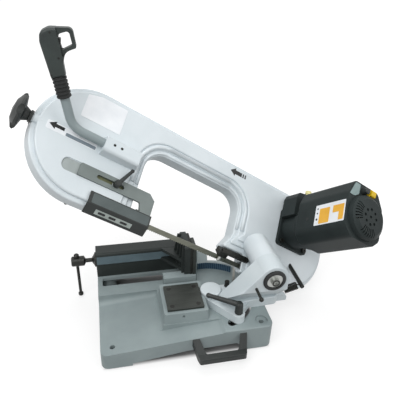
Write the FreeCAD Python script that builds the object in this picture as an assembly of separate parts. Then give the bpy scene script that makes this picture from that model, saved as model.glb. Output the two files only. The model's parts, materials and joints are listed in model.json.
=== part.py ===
import FreeCAD, Part
import math
import os

# Bench-top metal-cutting band saw: a cast bow on a swivelling arm, above a base with a vise.
# Millimetres, +Z up, origin on the bench at the centre of the four bench-bolt holes.

# Fits and clearances
SHAFT_FIT = 0.05
SLIDE_GAP = 0.3
ROLL_GAP = 0.15
WHEEL_GAP = 0.4

# Base casting
BASE_WIDTH = 368.0
BASE_FRONT = -133.0
BASE_DEPTH = 290.0
BASE_CORNER = 16.0
BASE_WALL = 8.0
DECK_Z = 66.0
DECK_THICK = 8.0
FOOT_H = 5.0
FOOT_R = 17.0
COLUMN_R = 19.0
BENCH_INSET_LEFT = 25.0
BENCH_INSET_RIGHT = 23.0
BENCH_X = 0.5 * (BASE_WIDTH - BENCH_INSET_LEFT - BENCH_INSET_RIGHT)
BENCH_Y = 112.0
BASE_LEFT = -BENCH_X - BENCH_INSET_LEFT
BASE_RIGHT = BENCH_X + BENCH_INSET_RIGHT
BENCH_HOLE_R = 5.5
COUNTERBORE_R = 14.0
COUNTERBORE_DEPTH = 5.0
SWIVEL_INSET = 118.0
SWIVEL_X = BASE_RIGHT - SWIVEL_INSET
TRAY_LEFT_Z = 42.0
TRAY_SLOPE = 0.08
TRAY_RIGHT = SWIVEL_X - 116.0
TRAY_BACK = 22.0
TRAY_FILLET = 12.0
SHELF_RIGHT = SWIVEL_X + 3.0
ARCH_LEFT = -BENCH_X + 39.0
ARCH_RIGHT = BENCH_X - 38.0
ARCH_H = 28.0
SWING_R = 132.0
SWING_SLOPE = 0.62
SWING_END = 80.0
DECK_SLOT_X = (BASE_LEFT + 11.0, SWIVEL_X - 95.0)
DECK_SLOT_Y = (55.0, 84.0)

# Cutting table
TABLE_Z = 101.0
PLATE_THICK = 5.0
PLATE_DROP = 4.8
PLATE_X = (SWIVEL_X - 105.0, SWIVEL_X - 25.5)
PLATE_Y = (-81.0, -3.0)
PLATE_SCREW_INSET = 11.0
TABLE_SCREW_R = 3.0
TABLE_SCREW_HEAD_R = 5.5
PAD_RIM = 8.0
PAD_DRAFT = 4.0
STOP_HOLE_R = 3.0
STOP_HOLE_DROP = 19.0
STOP_HOLE_DEPTH = 5.0
STOP_HOLE_X = SWIVEL_X - 72.0
LEDGE_X = (SWIVEL_X - 100.0, SWIVEL_X - 25.0)
LEDGE_Y = (16.0, 38.0)

# Carry handle on the front wall
CARRY_X = (SWIVEL_X - 61.0, SWIVEL_X + 42.0)
CARRY_REACH = 26.0
CARRY_TOP_Z = 49.0
CARRY_BAR_Z = 30.0
CARRY_BAR = 15.0
CARRY_SLANT = 10.0

# Vise
JAW_FRONT_Y = 23.0
JAW_BACK_Y = 83.0
JAW_TOP_Z = 180.0
JAW_FACE_X = SWIVEL_X - 32.0
JAW_PLATE = 6.0
JAW_WEB = 13.0
VISE_GAP = 0.5
SLIDE_Y = (88.0, 126.0)
SLIDE_TOP_Z = 135.0
SLIDE_WALL = 4.0
SLIDE_WAIST = 3.0
SLIDE_WAIST_Z = 100.0
SCREW_Z = 107.0
SCREW_R = 8.0
SCREW_SHORT = 68.0
SCREW_LENGTH = JAW_FACE_X - SCREW_SHORT - BASE_LEFT
NUT_X = (BASE_LEFT + 17.0, BASE_LEFT + 35.0)
NUT_WALL = 9.0
COLLAR_R = 17.5
COLLAR_L = 4.0
NECK_R = 5.0
NECK_L = 20.0
HUB_R = 12.0
HUB_L = 33.0
BAR_R = 3.5
BAR_CAP_R = 6.0
BAR_CAP_L = 8.0
BAR_LENGTH = 124.0
JAW_RIBS = 4
JAW_RIB = 4.0

# Fixed jaw on the deck
FIXED_PLATE = 7.0
FIXED_PLATE_Y = (22.0, 62.0)
FIXED_PLATE_TOP = 177.0
FIXED_POST = 7.0
FIXED_POST_Y = (42.0, 65.0)
FIXED_POST_TOP = 150.0
SCALE_R = 110.0
SCALE_FOOT = 3.5
SCALE_H = 18.0
SCALE_START = 50.0
SCALE_END = 94.0
SCALE_THICK = 0.8
RIB_REACH = 24.0
RIB_TOP = 136.0

# Swivel arm
SWIVEL_Y = -29.0
SWIVEL_HUB_R = 24.0
SWIVEL_HUB_TOP = 97.0
SWIVEL_BOLT_R = 8.0
SWIVEL_BOLT_TOP = 88.0
ARM_FLANGE_H = 21.6
LUG_X = SWIVEL_X + 45.0
LUG_Y = -102.0
LUG_R = 14.0
ARC_SLOT_HALF = 9.0
ARC_SLOT_START = -70.0
ARC_SLOT_END = -4.0
STUD_R = 5.0
CLAMP_TOP = 115.0
CLAMP_NUT = 9.0
CLAMP_HUB_R = 9.0
CLAMP_ARM = 72.0
CLAMP_AIM = 146.0
TUBE_R = 33.0
TUBE_FRONT_Y = -100.0
TUBE_BACK_Y = -50.0
ARM_RIGHT = SWIVEL_X + 153.0
SHAFT_R = 14.0
SEAL_R = 25.0
SEAL_L = 5.0
PIVOT_BOLT_R = 6.0
LOCK_PIN_X = SWIVEL_X + 80.0
LOCK_PIN_Z = 145.0
LOCK_PIN_R = 3.0
LOCK_PIN_OUT = 33.0
LOCK_PIN_IN = 16.0
LOCK_BALL_R = 5.0
STOP_X = SWIVEL_X + 41.0
STOP_Y = -17.0
STOP_R = 4.0
STOP_HEAD_R = 6.5

# Return spring
SPRING_Y = -38.0
SPRING_LOW_X = SWIVEL_X + 165.0
SPRING_LOW_Z = 72.0
SPRING_R = 8.0
SPRING_WIRE_R = 1.3
SPRING_CURLS = 10
SPRING_TAIL = 5.0
SPRING_LEAD = 4.5
SPRING_PIN_R = 4.0
SPRING_POST_R = 5.0
SPRING_POST_OUT = 122.0
SPRING_POST_RISE = 46.0

# Head: drawn flat with X along the bow, Y up the bow and Z out of its front face,
# zero at the drive wheel's centre, then tilted and raised
PIVOT_X = SWIVEL_X + 118.0
PIVOT_Z = 163.0
CUT_Y = 11.0
BLADE_LOW_Z = 103.5
WHEEL_X = 103.0
HEAD_TILT = 45.0
HEAD_RAISE = 32.0
WHEEL_R = 106.0
WHEEL_SPAN = 534.5
WHEEL_WIDTH = 14.0
WHEEL_RIM = 10.0
WHEEL_WEB = 6.0
WHEEL_HUB_R = 24.0
WHEEL_HOLES = 5
WHEEL_HOLE_R = 18.0
BLADE_WIDTH = 13.0
BLADE_THICK = 0.9
TOOTH_PITCH = 5.0
TOOTH_DEPTH = 2.0
LEFT_GUIDE_X = -WHEEL_SPAN + 145.5
LEFT_GUIDE_BACK = 10.0
RIGHT_GUIDE_X = -177.0

# Bow casting
BOW_MARGIN = 16.0
BOW_BACK = -18.0
BOW_BAND = 12.0
BOW_STEP = 16.0
BOW_FACE = 20.0
BOW_WALL = 5.0
BAND_IN = 10.0
RIDGE_ONE = 12.0
RIDGE_TWO = 25.0
FACE_FILLET = 3.5
BAND_FILLET = 7.0
CAVITY_LOW = 8.0
CAVITY_HIGH = 15.0
THROAT_LEFT = -WHEEL_SPAN + 119.5
THROAT_TOP = WHEEL_R - 52.0
THROAT_RIGHT = -160.0
THROAT_CORNER = 45.0
NOSE_LEFT = -180.0
NOSE_LOW = -WHEEL_R + 26.0
NOSE_RISE = 34.0
HEEL_LEFT = -118.0
HEEL_FLAT = -12.5
HEEL_WALL = 4.0
HINGE_BOSS_R = 30.0
COVER_THICK = 3.0
COVER_SCREW_R = 1.6
COVER_HEAD_R = 3.6
COVER_HEAD_L = 2.4

# Tension gear at the idler wheel
AXLE_R = 8.0
BEARING_R = 15.0
CARRIAGE_X = 70.0
CARRIAGE_Y = 50.0
CARRIAGE_THICK = 5.4
RAIL = 6.0
RAIL_HALF = 50.0
TENSION_SCREW_R = 3.0
TENSION_AXIS_Z = 11.4
TENSION_BOSS_R = 9.0
TENSION_BOSS_L = 10.0
KNOB_R = 37.0
KNOB_L = 20.0
KNOB_LOBES = 5
KNOB_STEM_R = 11.0
KNOB_STEM_L = 10.0

# Left guide arm in its track on the bow's face
TRACK_X = (-WHEEL_SPAN - 43.5, -WHEEL_SPAN + 129.5)
TRACK_Y = (-WHEEL_R + 34.0, -WHEEL_R + 61.0)
TRACK_DEPTH = 3.0
GUIDE_BAR_LEFT = -WHEEL_SPAN - 8.5
GUIDE_BAR_THICK = 7.0
GUIDE_SLOT_W = 8.5
BRACKET_W = 30.0
GUIDE_BLOCK = 28.0
GUIDE_BLOCK_Z = (9.0, 22.0)
ROLLER_R = 4.6
ROLLER_L = 11.0
ROLLER_LOW = -3.0
ROLLER_PIN_R = 2.0
PIN_HEAD = 1.2
GUIDE_CHEEK = 1.8
GUARD_LEFT = -WHEEL_SPAN + 27.5
GUARD_RIGHT = -WHEEL_SPAN + 162.5
GUARD_THICK = 2.0
GUIDE_LEVER_X = -WHEEL_SPAN + 70.5
LEVER_HUB_R = 7.5
LEVER_HUB_L = 15.0
LEVER_ARM = 44.0
LEVER_AIM = 62.0
LEVER_STUD_R = 4.0

# Main handle
HANDLE_BOSS_X = (-WHEEL_SPAN + 16.5, -WHEEL_SPAN + 94.5)
HANDLE_BOSS_Y = (-14.0, 26.0)
HANDLE_BOSS_Z = 46.0
HANDLE_Y = 8.0
HANDLE_Z = 33.0
HANDLE_R = 9.0
HANDLE_IN = -WHEEL_SPAN + 76.5
HANDLE_BEND_X = -WHEEL_SPAN - 50.5
HANDLE_BEND_R = 46.0
HANDLE_RAKE = 50.0
BOOT_START = 60.0
BOOT_L = 40.0
BOOT_R = 13.5
BOOT_RIBS = 6
GRIP_HALF = 14.0
GRIP_FILLET = 5.0
GRIP_TUBE_IN = 22.0
GRIP_SCREW_R = 2.0
TRIGGER_HALF = 6.0
TRIGGER_PIVOT = (9.0, 63.0)
TRIGGER_PIVOT_R = 2.5
TRIGGER_STUB = 3.0
SET_SCREW_R = 3.0

# Motor and gear housing on the bow's face
MOTOR_X = 6.0
MOTOR_Y = 24.0
FLANGE = 94.0
FLANGE_THICK = 9.0
FLANGE_BOLT_INSET = 10.0
FLANGE_BOLT_R = 3.5
NECK_OUT_R = 44.0
NECK_END = 76.0
RING_R = 50.0
RING_END = 90.0
MOTOR_END = 235.0
MOTOR_WALL = 4.0
CAP_PLATE = 4.0
CAP_END = 257.0
CAP_R = 48.0
VENT_R = 3.2
VENT_CIRCLE = 17.0
VENTS = 8
SLITS = 7
ROTOR_R = 32.0
ROTOR_SHAFT_R = 6.0
FAN_R = 42.0
FAN_BLADES = 9
OUTPUT_R = 10.0
BOX_X = (-45.0, 8.0)
BOX_TOP = 112.0
DIAL_X = -12.0
DIAL_Y = 57.5
DIAL_R = 8.0
DIAL_L = 14.0
BOX_CAP_R = 6.0

BASE_BACK = BASE_FRONT + BASE_DEPTH
PLATE_TOP = TABLE_Z - PLATE_DROP
PAD_Z = PLATE_TOP - PLATE_THICK
SLIDE_MID = 0.5 * (SLIDE_Y[0] + SLIDE_Y[1])
ARM_LOW = DECK_Z + SLIDE_GAP
ARM_FLANGE_TOP = ARM_LOW + ARM_FLANGE_H
BOW_R = WHEEL_R + BOW_MARGIN
BLADE_IN_R = WHEEL_R - 0.5 * BLADE_THICK
ROLLER_Y = ROLLER_R + 0.5 * BLADE_THICK + ROLL_GAP
ROOT_HALF = math.sqrt(0.5)

V = FreeCAD.Vector
X_AXIS = V(1, 0, 0)
Y_AXIS = V(0, 1, 0)
Z_AXIS = V(0, 0, 1)
NODES = {}


def block(xs, ys, zs):
    return Part.makeBox(xs[1] - xs[0], ys[1] - ys[0], zs[1] - zs[0], V(xs[0], ys[0], zs[0]))


def rod(radius, start, way, length):
    return Part.makeCylinder(radius, length, V(*start), way)


def tube(outer, inner, start, way, length):
    return rod(outer, start, way, length).cut(rod(inner, start, way, length))


def join(first, *others):
    return first.multiFuse(list(others)).removeSplitter()


def carve(shape, *tools):
    return shape.cut(list(tools)) if tools else shape


def rounded_loop(points):
    """Closed loop in the XY plane; a third number on a point is its corner radius."""
    count = len(points)
    corners = []
    for index, point in enumerate(points):
        here = V(point[0], point[1], 0)
        radius = point[2] if len(point) > 2 else 0.0
        before = V(points[index - 1][0], points[index - 1][1], 0) - here
        after = V(points[(index + 1) % count][0], points[(index + 1) % count][1], 0) - here
        before.normalize()
        after.normalize()
        if radius == 0.0:
            corners.append((here, None, here))
            continue
        half = 0.5 * before.getAngle(after)
        reach = radius / math.tan(half)
        middle = before + after
        middle.normalize()
        centre = here + middle * (radius / math.sin(half))
        corners.append((here + before * reach, centre - middle * radius, here + after * reach))
    edges = []
    for index, (start, mid, end) in enumerate(corners):
        if mid is not None:
            edges.append(Part.Arc(start, mid, end).toShape())
        following = corners[(index + 1) % count][0]
        if end.distanceToPoint(following) > 1e-6:
            edges.append(Part.LineSegment(end, following).toShape())
    return Part.Wire(edges)


def plate(points, low, high):
    loop = rounded_loop(points)
    loop.translate(V(0, 0, low))
    return Part.Face(loop).extrude(V(0, 0, high - low))


def plate_xz(points, low, high):
    """Outline given in X and Z, running along Y."""
    shape = plate(points, -high, -low)
    shape.rotate(V(0, 0, 0), X_AXIS, 90)
    return shape


def plate_yz(points, low, high):
    """Outline given in Y and Z, running along X."""
    shape = plate(points, low, high)
    shape.rotate(V(0, 0, 0), V(1, 1, 1), 120)
    return shape


def rectangle(xs, ys, radius=0.0):
    return [(xs[0], ys[0], radius), (xs[1], ys[0], radius), (xs[1], ys[1], radius), (xs[0], ys[1], radius)]


def lathe(points, axis_way):
    """Solid of revolution from (along, radius) points, about an axis through the origin."""
    loop = Part.makePolygon([V(r, 0, along) for along, r in points + points[:1]])
    solid = Part.Face(loop).revolve(V(0, 0, 0), Z_AXIS, 360)
    turn = FreeCAD.Rotation(Z_AXIS, axis_way)
    solid.Placement = FreeCAD.Placement(V(0, 0, 0), turn)
    return solid


def moved(shape, x, y, z):
    copy = shape.copy()
    copy.translate(V(x, y, z))
    return copy


def ring_sector(inner, outer, start, end, low, high):
    """Part of a ring about the swivel axis, between two angles."""
    spot = V(SWIVEL_X, SWIVEL_Y, low)
    whole = Part.makeCylinder(outer, high - low, spot, Z_AXIS, end - start)
    core = Part.makeCylinder(inner, high - low, spot, Z_AXIS, end - start)
    sector = whole.cut(core)
    sector.rotate(spot, Z_AXIS, start)
    return sector


def on_swivel(radius, angle):
    turn = math.radians(angle)
    return SWIVEL_X + radius * math.cos(turn), SWIVEL_Y + radius * math.sin(turn)


def soften(shape, radius, wanted):
    edges = [edge for edge in shape.Edges if wanted(edge)]
    return shape.makeFillet(radius, edges)


def at_height(height):
    return lambda edge: all(abs(v.Z - height) < 1e-6 for v in edge.Vertexes)


def head_place(shape):
    """From the bow's flat drawing to the raised, tilted place on the saw."""
    rise = WHEEL_R * ROOT_HALF
    tilt = FreeCAD.Placement(V(PIVOT_X + WHEEL_X, CUT_Y + rise, BLADE_LOW_Z + rise),
                             FreeCAD.Rotation(X_AXIS, HEAD_TILT))
    lift = FreeCAD.Placement(V(0, 0, 0), FreeCAD.Rotation(Y_AXIS, HEAD_RAISE), V(PIVOT_X, 0, PIVOT_Z))
    copy = shape.copy()
    copy.Placement = lift.multiply(tilt).multiply(copy.Placement)
    return copy


def level(shape):
    """From axes that are level with the lowered head, zero on the cutting line, to the bow's drawing."""
    copy = shape.copy()
    copy.rotate(V(0, 0, 0), X_AXIS, -HEAD_TILT)
    copy.translate(V(0, -WHEEL_R, 0))
    return copy


def pivot_in_bow(world_y):
    """Point of the tilt axis at a given world Y, in the bow's drawing."""
    rise = WHEEL_R * ROOT_HALF
    dy = world_y - CUT_Y - rise
    dz = PIVOT_Z - BLADE_LOW_Z - rise
    return -WHEEL_X, ROOT_HALF * (dy + dz), ROOT_HALF * (dz - dy)


TILT_AXIS = V(0, ROOT_HALF, -ROOT_HALF)


def tray_z(x):
    return TRAY_LEFT_Z + TRAY_SLOPE * (x - BASE_LEFT)


def foot_spots():
    return [(sx * BENCH_X, sy * BENCH_Y) for sx in (-1, 1) for sy in (-1, 1)]


def plate_screw_spots():
    xs = (PLATE_X[0] + PLATE_SCREW_INSET, PLATE_X[1] - PLATE_SCREW_INSET)
    ys = (PLATE_Y[0] + PLATE_SCREW_INSET, PLATE_Y[1] - PLATE_SCREW_INSET)
    return [(x, y) for x in xs for y in ys]


# Base group
def base_casting():
    xs = (BASE_LEFT, BASE_RIGHT)
    ys = (BASE_FRONT, BASE_BACK)
    body = plate(rectangle(xs, ys, BASE_CORNER), FOOT_H, DECK_Z)
    body = soften(body, 3.0, at_height(DECK_Z))
    out = 20.0
    tray = plate_xz([(BASE_LEFT - out, tray_z(BASE_LEFT - out)), (TRAY_RIGHT, tray_z(TRAY_RIGHT)),
                     (TRAY_RIGHT, DECK_Z + out), (BASE_LEFT - out, DECK_Z + out)],
                    BASE_FRONT - out, TRAY_BACK)
    tray = soften(tray, TRAY_FILLET, lambda e: all(v.X > BASE_LEFT and v.Z < DECK_Z + out or
                                                   abs(v.Y - TRAY_BACK) < 1e-6 and v.Z < DECK_Z
                                                   for v in e.Vertexes))
    shelf_back = PLATE_Y[0] - PAD_RIM - PAD_DRAFT
    shelf = plate_xz([(TRAY_RIGHT - out, tray_z(TRAY_RIGHT - out)), (SHELF_RIGHT, tray_z(SHELF_RIGHT)),
                      (SHELF_RIGHT + 2 * (DECK_Z - tray_z(SHELF_RIGHT)), DECK_Z),
                      (SHELF_RIGHT + out, DECK_Z + out), (TRAY_RIGHT - out, DECK_Z + out)],
                     BASE_FRONT - out, shelf_back)
    body = carve(body, tray, shelf)
    pad_x = (PLATE_X[0] - PAD_RIM, PLATE_X[1] + PAD_RIM)
    pad_y = (PLATE_Y[0] - PAD_RIM, CUT_Y - 2.0)
    top = rounded_loop(rectangle(pad_x, pad_y, 6.0))
    top.translate(V(0, 0, PAD_Z))
    foot = rounded_loop(rectangle((pad_x[0] - PAD_DRAFT, pad_x[1] + PAD_DRAFT),
                                  (pad_y[0] - PAD_DRAFT, pad_y[1]), 6.0))
    foot.translate(V(0, 0, TRAY_LEFT_Z))
    pad = Part.makeLoft([foot, top], True, True)
    ledge = block(LEDGE_X, LEDGE_Y, (DECK_Z - 1.0, TABLE_Z))
    body = join(body, pad, ledge)
    roof = TRAY_LEFT_Z - DECK_THICK
    inner_x = (BASE_LEFT + BASE_WALL, BASE_RIGHT - BASE_WALL)
    inner_y = (BASE_FRONT + BASE_WALL, BASE_BACK - BASE_WALL)
    hollow = plate(rectangle(inner_x, inner_y, BASE_WALL), 0.0, roof)
    rear = block((inner_x[0], inner_x[1]), (TRAY_BACK + BASE_WALL, inner_y[1]), (0.0, DECK_Z - DECK_THICK))
    under_arm = block((SHELF_RIGHT, inner_x[1]), (inner_y[0], TRAY_BACK + BASE_WALL + 1.0),
                      (0.0, DECK_Z - DECK_THICK))
    under_pad = block((pad_x[0] + BASE_WALL, SWIVEL_X - SWIVEL_HUB_R - 2 * BASE_WALL),
                      (pad_y[0] + BASE_WALL, pad_y[1] - BASE_WALL), (0.0, PAD_Z - DECK_THICK))
    kept = swing_relief(DECK_THICK + 1.0, SWING_END + 6.0)
    body = carve(body, hollow.cut(kept), rear.cut(kept), under_arm.cut(kept), under_pad)
    columns = [rod(COLUMN_R, (x, y, FOOT_H), Z_AXIS, roof + DECK_THICK - FOOT_H) for x, y in foot_spots()]
    boss = rod(SWIVEL_HUB_R, (SWIVEL_X, SWIVEL_Y, roof - DECK_THICK), Z_AXIS,
               DECK_Z - roof + DECK_THICK)
    tall = [rod(COLUMN_R, (x, y, FOOT_H), Z_AXIS, DECK_Z - FOOT_H - 0.5 * DECK_THICK)
            for x, y in foot_spots() if x > 0 or y > 0]
    body = join(body, boss, *columns, *tall)
    cuts = [rod(BENCH_HOLE_R, (x, y, 0), Z_AXIS, DECK_Z + out) for x, y in foot_spots()]
    cuts.append(rod(COUNTERBORE_R, (BENCH_X, -BENCH_Y, DECK_Z - COUNTERBORE_DEPTH), Z_AXIS, out))
    cuts.append(rod(SWIVEL_HUB_R + 2.0, (SWIVEL_X, SWIVEL_Y, DECK_Z), Z_AXIS, PAD_Z))
    cuts.append(rod(SWIVEL_BOLT_R + SHAFT_FIT, (SWIVEL_X, SWIVEL_Y, 0), Z_AXIS, DECK_Z + out))
    cuts.append(plate(rectangle(DECK_SLOT_X, DECK_SLOT_Y, 5.0), DECK_Z - 2 * DECK_THICK, DECK_Z + 1.0))
    cuts += arc_slot()
    cuts += skirt_arches()
    for x, y in plate_screw_spots():
        cuts.append(rod(TABLE_SCREW_R, (x, y, PAD_Z - 1.4 * DECK_THICK), Z_AXIS, out))
    cuts.append(rod(STOP_HOLE_R, (STOP_HOLE_X, pad_y[0] - out, TABLE_Z - STOP_HOLE_DROP), Y_AXIS,
                    out + STOP_HOLE_DEPTH))
    cuts.append(swing_relief(0.0, SWING_END))
    return carve(body, *cuts)


def swing_relief(drop, end):
    """Room above a cone about the swivel axis, where the drive housing swings over the rear corner."""
    reach = BASE_WIDTH
    top = DECK_Z - drop
    far = SWING_R + reach
    profile = Part.makePolygon([V(SWING_R, 0, top), V(far, 0, top - SWING_SLOPE * reach),
                                V(far, 0, DECK_Z + reach), V(SWING_R, 0, DECK_Z + reach), V(SWING_R, 0, top)])
    room = Part.Face(profile).revolve(V(0, 0, 0), Z_AXIS, end)
    return moved(room, SWIVEL_X, SWIVEL_Y, 0)


def arc_slot():
    radius = math.hypot(LUG_X - SWIVEL_X, LUG_Y - SWIVEL_Y)
    low = DECK_Z - 4 * DECK_THICK
    high = DECK_Z + 1.0
    run = ring_sector(radius - ARC_SLOT_HALF, radius + ARC_SLOT_HALF, ARC_SLOT_START, ARC_SLOT_END, low, high)
    ends = []
    for angle in (ARC_SLOT_START, ARC_SLOT_END):
        x, y = on_swivel(radius, angle)
        ends.append(rod(ARC_SLOT_HALF, (x, y, low), Z_AXIS, high - low))
    return [run] + ends


def skirt_arches():
    depth = BASE_WALL + 4.0
    low = FOOT_H - 1.0
    front = [(ARCH_LEFT, low), (ARCH_RIGHT, low), (ARCH_RIGHT, ARCH_H - 14.0), (ARCH_RIGHT - 20.0, ARCH_H),
             (-1.0, ARCH_H - 2.0), (ARCH_LEFT, ARCH_H - 17.0)]
    side = [(-70.0, low), (85.0, low), (72.0, ARCH_H - 8.0), (-57.0, ARCH_H - 8.0)]
    return [plate_xz(front, BASE_FRONT - 1.0, BASE_FRONT + depth),
            plate_xz(front, BASE_BACK - depth, BASE_BACK + 1.0),
            plate_yz(side, BASE_LEFT - 1.0, BASE_LEFT + depth),
            plate_yz(side, BASE_RIGHT - depth, BASE_RIGHT + 1.0)]


def rubber_feet():
    feet = []
    for x, y in foot_spots():
        pad = tube(FOOT_R, BENCH_HOLE_R, (x, y, 0), Z_AXIS, FOOT_H)
        feet.append(pad)
    return Part.Compound(feet)


def table_plate():
    body = plate(rectangle(PLATE_X, PLATE_Y, 2.0), PAD_Z, PLATE_TOP)
    sink = TABLE_SCREW_HEAD_R - TABLE_SCREW_R
    for x, y in plate_screw_spots():
        hole = rod(TABLE_SCREW_R, (x, y, PAD_Z), Z_AXIS, PLATE_THICK)
        cone = Part.makeCone(TABLE_SCREW_R, TABLE_SCREW_HEAD_R, sink, V(x, y, PLATE_TOP - sink), Z_AXIS)
        body = carve(body, hole, cone)
    return body


def table_screws():
    sink = TABLE_SCREW_HEAD_R - TABLE_SCREW_R
    screws = []
    for x, y in plate_screw_spots():
        low = PAD_Z - DECK_THICK
        shank = rod(TABLE_SCREW_R - SHAFT_FIT, (x, y, low), Z_AXIS, PLATE_TOP - sink - low)
        head = Part.makeCone(TABLE_SCREW_R - SHAFT_FIT, TABLE_SCREW_HEAD_R - SLIDE_GAP - SHAFT_FIT,
                             sink - SLIDE_GAP, V(x, y, PLATE_TOP - sink), Z_AXIS)
        screws.append(join(shank, head))
    return Part.Compound(screws)


def carry_handle():
    """Drooping bail: two slanted legs and a bar, square in section with rounded corners."""
    half = 0.5 * CARRY_BAR
    reach = BASE_FRONT - CARRY_REACH
    outer = [(CARRY_X[0], BASE_FRONT), (CARRY_X[1] + CARRY_BAR, BASE_FRONT),
             (CARRY_X[1] + CARRY_BAR - CARRY_SLANT, reach - CARRY_BAR, 8.0),
             (CARRY_X[0] + CARRY_SLANT, reach - CARRY_BAR, 8.0)]
    inner = [(CARRY_X[0] + CARRY_BAR, BASE_FRONT), (CARRY_X[1], BASE_FRONT),
             (CARRY_X[1] - CARRY_SLANT, reach, 4.0), (CARRY_X[0] + CARRY_BAR + CARRY_SLANT, reach, 4.0)]
    bail = plate(outer, 0.0, DECK_Z).cut(plate(inner, -1.0, DECK_Z + 1.0))
    drop = CARRY_TOP_Z - CARRY_BAR_Z
    side = [(BASE_FRONT, CARRY_TOP_Z + half), (BASE_FRONT, CARRY_TOP_Z - half - 4.0),
            (reach, CARRY_TOP_Z - drop - half), (reach - CARRY_BAR, CARRY_TOP_Z - drop - half, 3.0),
            (reach - CARRY_BAR, CARRY_TOP_Z - drop + half, 3.0), (reach, CARRY_TOP_Z - drop + half)]
    band = plate_yz(side, CARRY_X[0] - 1.0, CARRY_X[1] + CARRY_BAR + 1.0)
    return bail.common(band)


def fixed_jaw():
    x0 = JAW_FACE_X + VISE_GAP + FIXED_PLATE
    post = plate(rectangle((x0, x0 + FIXED_POST), FIXED_POST_Y, 2.0), DECK_Z, FIXED_POST_TOP)
    wall = ring_sector(SCALE_R, SCALE_R + SCALE_FOOT, SCALE_START, SCALE_END, DECK_Z, DECK_Z + SCALE_H)
    end_x, end_y = on_swivel(SCALE_R, SCALE_END)
    rib_back = end_y + RIB_REACH
    x1 = x0 + FIXED_POST
    web = plate([(x0, FIXED_POST_Y[0]), (x1, FIXED_POST_Y[0]), (x1, FIXED_POST_Y[1]), (end_x, end_y),
                 (end_x, rib_back), (x0, rib_back)], DECK_Z, DECK_Z + SCALE_H)
    rib_low = DECK_Z + SCALE_H - 1.0
    rib = plate_yz([(FIXED_POST_Y[1] - 1.0, rib_low), (rib_back, rib_low), (FIXED_POST_Y[1] - 1.0, RIB_TOP)],
                   x0, x0 + 0.9 * FIXED_POST)
    return join(post, wall, web, rib)


def fixed_jaw_plate():
    x0 = JAW_FACE_X + VISE_GAP
    return block((x0, x0 + FIXED_PLATE), FIXED_PLATE_Y, (TABLE_Z, FIXED_PLATE_TOP))


def mitre_scale():
    return ring_sector(SCALE_R - SCALE_THICK, SCALE_R, SCALE_START, SCALE_END, DECK_Z, DECK_Z + SCALE_H)


def vise_nut():
    half = 0.5 * (SLIDE_Y[1] - SLIDE_Y[0]) - SLIDE_WAIST - SLIDE_WALL - SLIDE_GAP
    ys = (SLIDE_MID - half, SLIDE_MID + half)
    body = plate_yz(rectangle(ys, (DECK_Z, SCREW_Z + SCREW_R + NUT_WALL), 4.0)[2:] +
                    [(ys[0], DECK_Z), (ys[1], DECK_Z)], *NUT_X)
    return carve(body, rod(SCREW_R + SHAFT_FIT, (NUT_X[0] - 1.0, SLIDE_MID, SCREW_Z), X_AXIS, 40.0))


# Moving jaw group
def vise_jaw():
    low = DECK_Z + SLIDE_GAP
    web_x = (JAW_FACE_X - JAW_PLATE - JAW_WEB, JAW_FACE_X - JAW_PLATE)
    waist = (SLIDE_Y[0] + SLIDE_WAIST, SLIDE_Y[1] - SLIDE_WAIST)
    outline = [(waist[0], low), (waist[1], low), (waist[1], SLIDE_WAIST_Z), (SLIDE_Y[1], SLIDE_WAIST_Z + 3.0),
               (SLIDE_Y[1], SLIDE_TOP_Z, 5.0), (SLIDE_Y[0], SLIDE_TOP_Z, 5.0),
               (SLIDE_Y[0], SLIDE_WAIST_Z + 3.0), (waist[0], SLIDE_WAIST_Z)]
    slide = plate_yz(outline, BASE_LEFT, web_x[0] + 1.0)
    tunnel = block((BASE_LEFT + SLIDE_WALL, web_x[0] - SLIDE_WALL),
                   (waist[0] + SLIDE_WALL, waist[1] - SLIDE_WALL), (low - 1.0, SLIDE_TOP_Z - SLIDE_WALL))
    over = TABLE_Z + VISE_GAP
    head = plate_yz([(JAW_FRONT_Y, over, 3.0), (SLIDE_Y[0], over, 4.0), (SLIDE_Y[0] + SLIDE_WAIST, low),
                     (waist[1], low), (SLIDE_Y[1], SLIDE_TOP_Z, 8.0),
                     (JAW_BACK_Y + 8.0, JAW_TOP_Z - 4.0, 6.0), (JAW_FRONT_Y, JAW_TOP_Z - 4.0, 3.0)], *web_x)
    flare = [(web_x[0] - 46.0, SLIDE_Y[0] + 1.0), (web_x[0] + 1.0, SLIDE_Y[0] + 1.0),
             (web_x[0] + 1.0, JAW_FRONT_Y + 8.0)]
    lower_flare = plate(flare, over, over + 8.0)
    upper_flare = plate(flare, SLIDE_TOP_Z - 8.0, SLIDE_TOP_Z)
    pitch = (JAW_BACK_Y - JAW_FRONT_Y) / JAW_RIBS
    ribs = []
    for index in range(JAW_RIBS):
        y = JAW_FRONT_Y + (index + 0.5) * pitch
        reach = 6.0 + 3.5 * index
        ribs.append(plate_xz([(web_x[0] + 1.0, over), (web_x[0] + 1.0, JAW_TOP_Z),
                              (web_x[0] - 0.5 * reach, JAW_TOP_Z), (web_x[0] - reach, SLIDE_TOP_Z),
                              (web_x[0] - reach, over)], y, y + JAW_RIB))
    body = join(slide, head, lower_flare, upper_flare, *ribs)
    bore = rod(SCREW_R + SHAFT_FIT, (BASE_LEFT - 1.0, SLIDE_MID, SCREW_Z), X_AXIS, SLIDE_WALL + 2.0)
    return carve(body, tunnel, bore)


def moving_jaw_plate():
    over = TABLE_Z + VISE_GAP
    return block((JAW_FACE_X - JAW_PLATE, JAW_FACE_X), (JAW_FRONT_Y, JAW_BACK_Y), (over, JAW_TOP_Z - 4.0))


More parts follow.
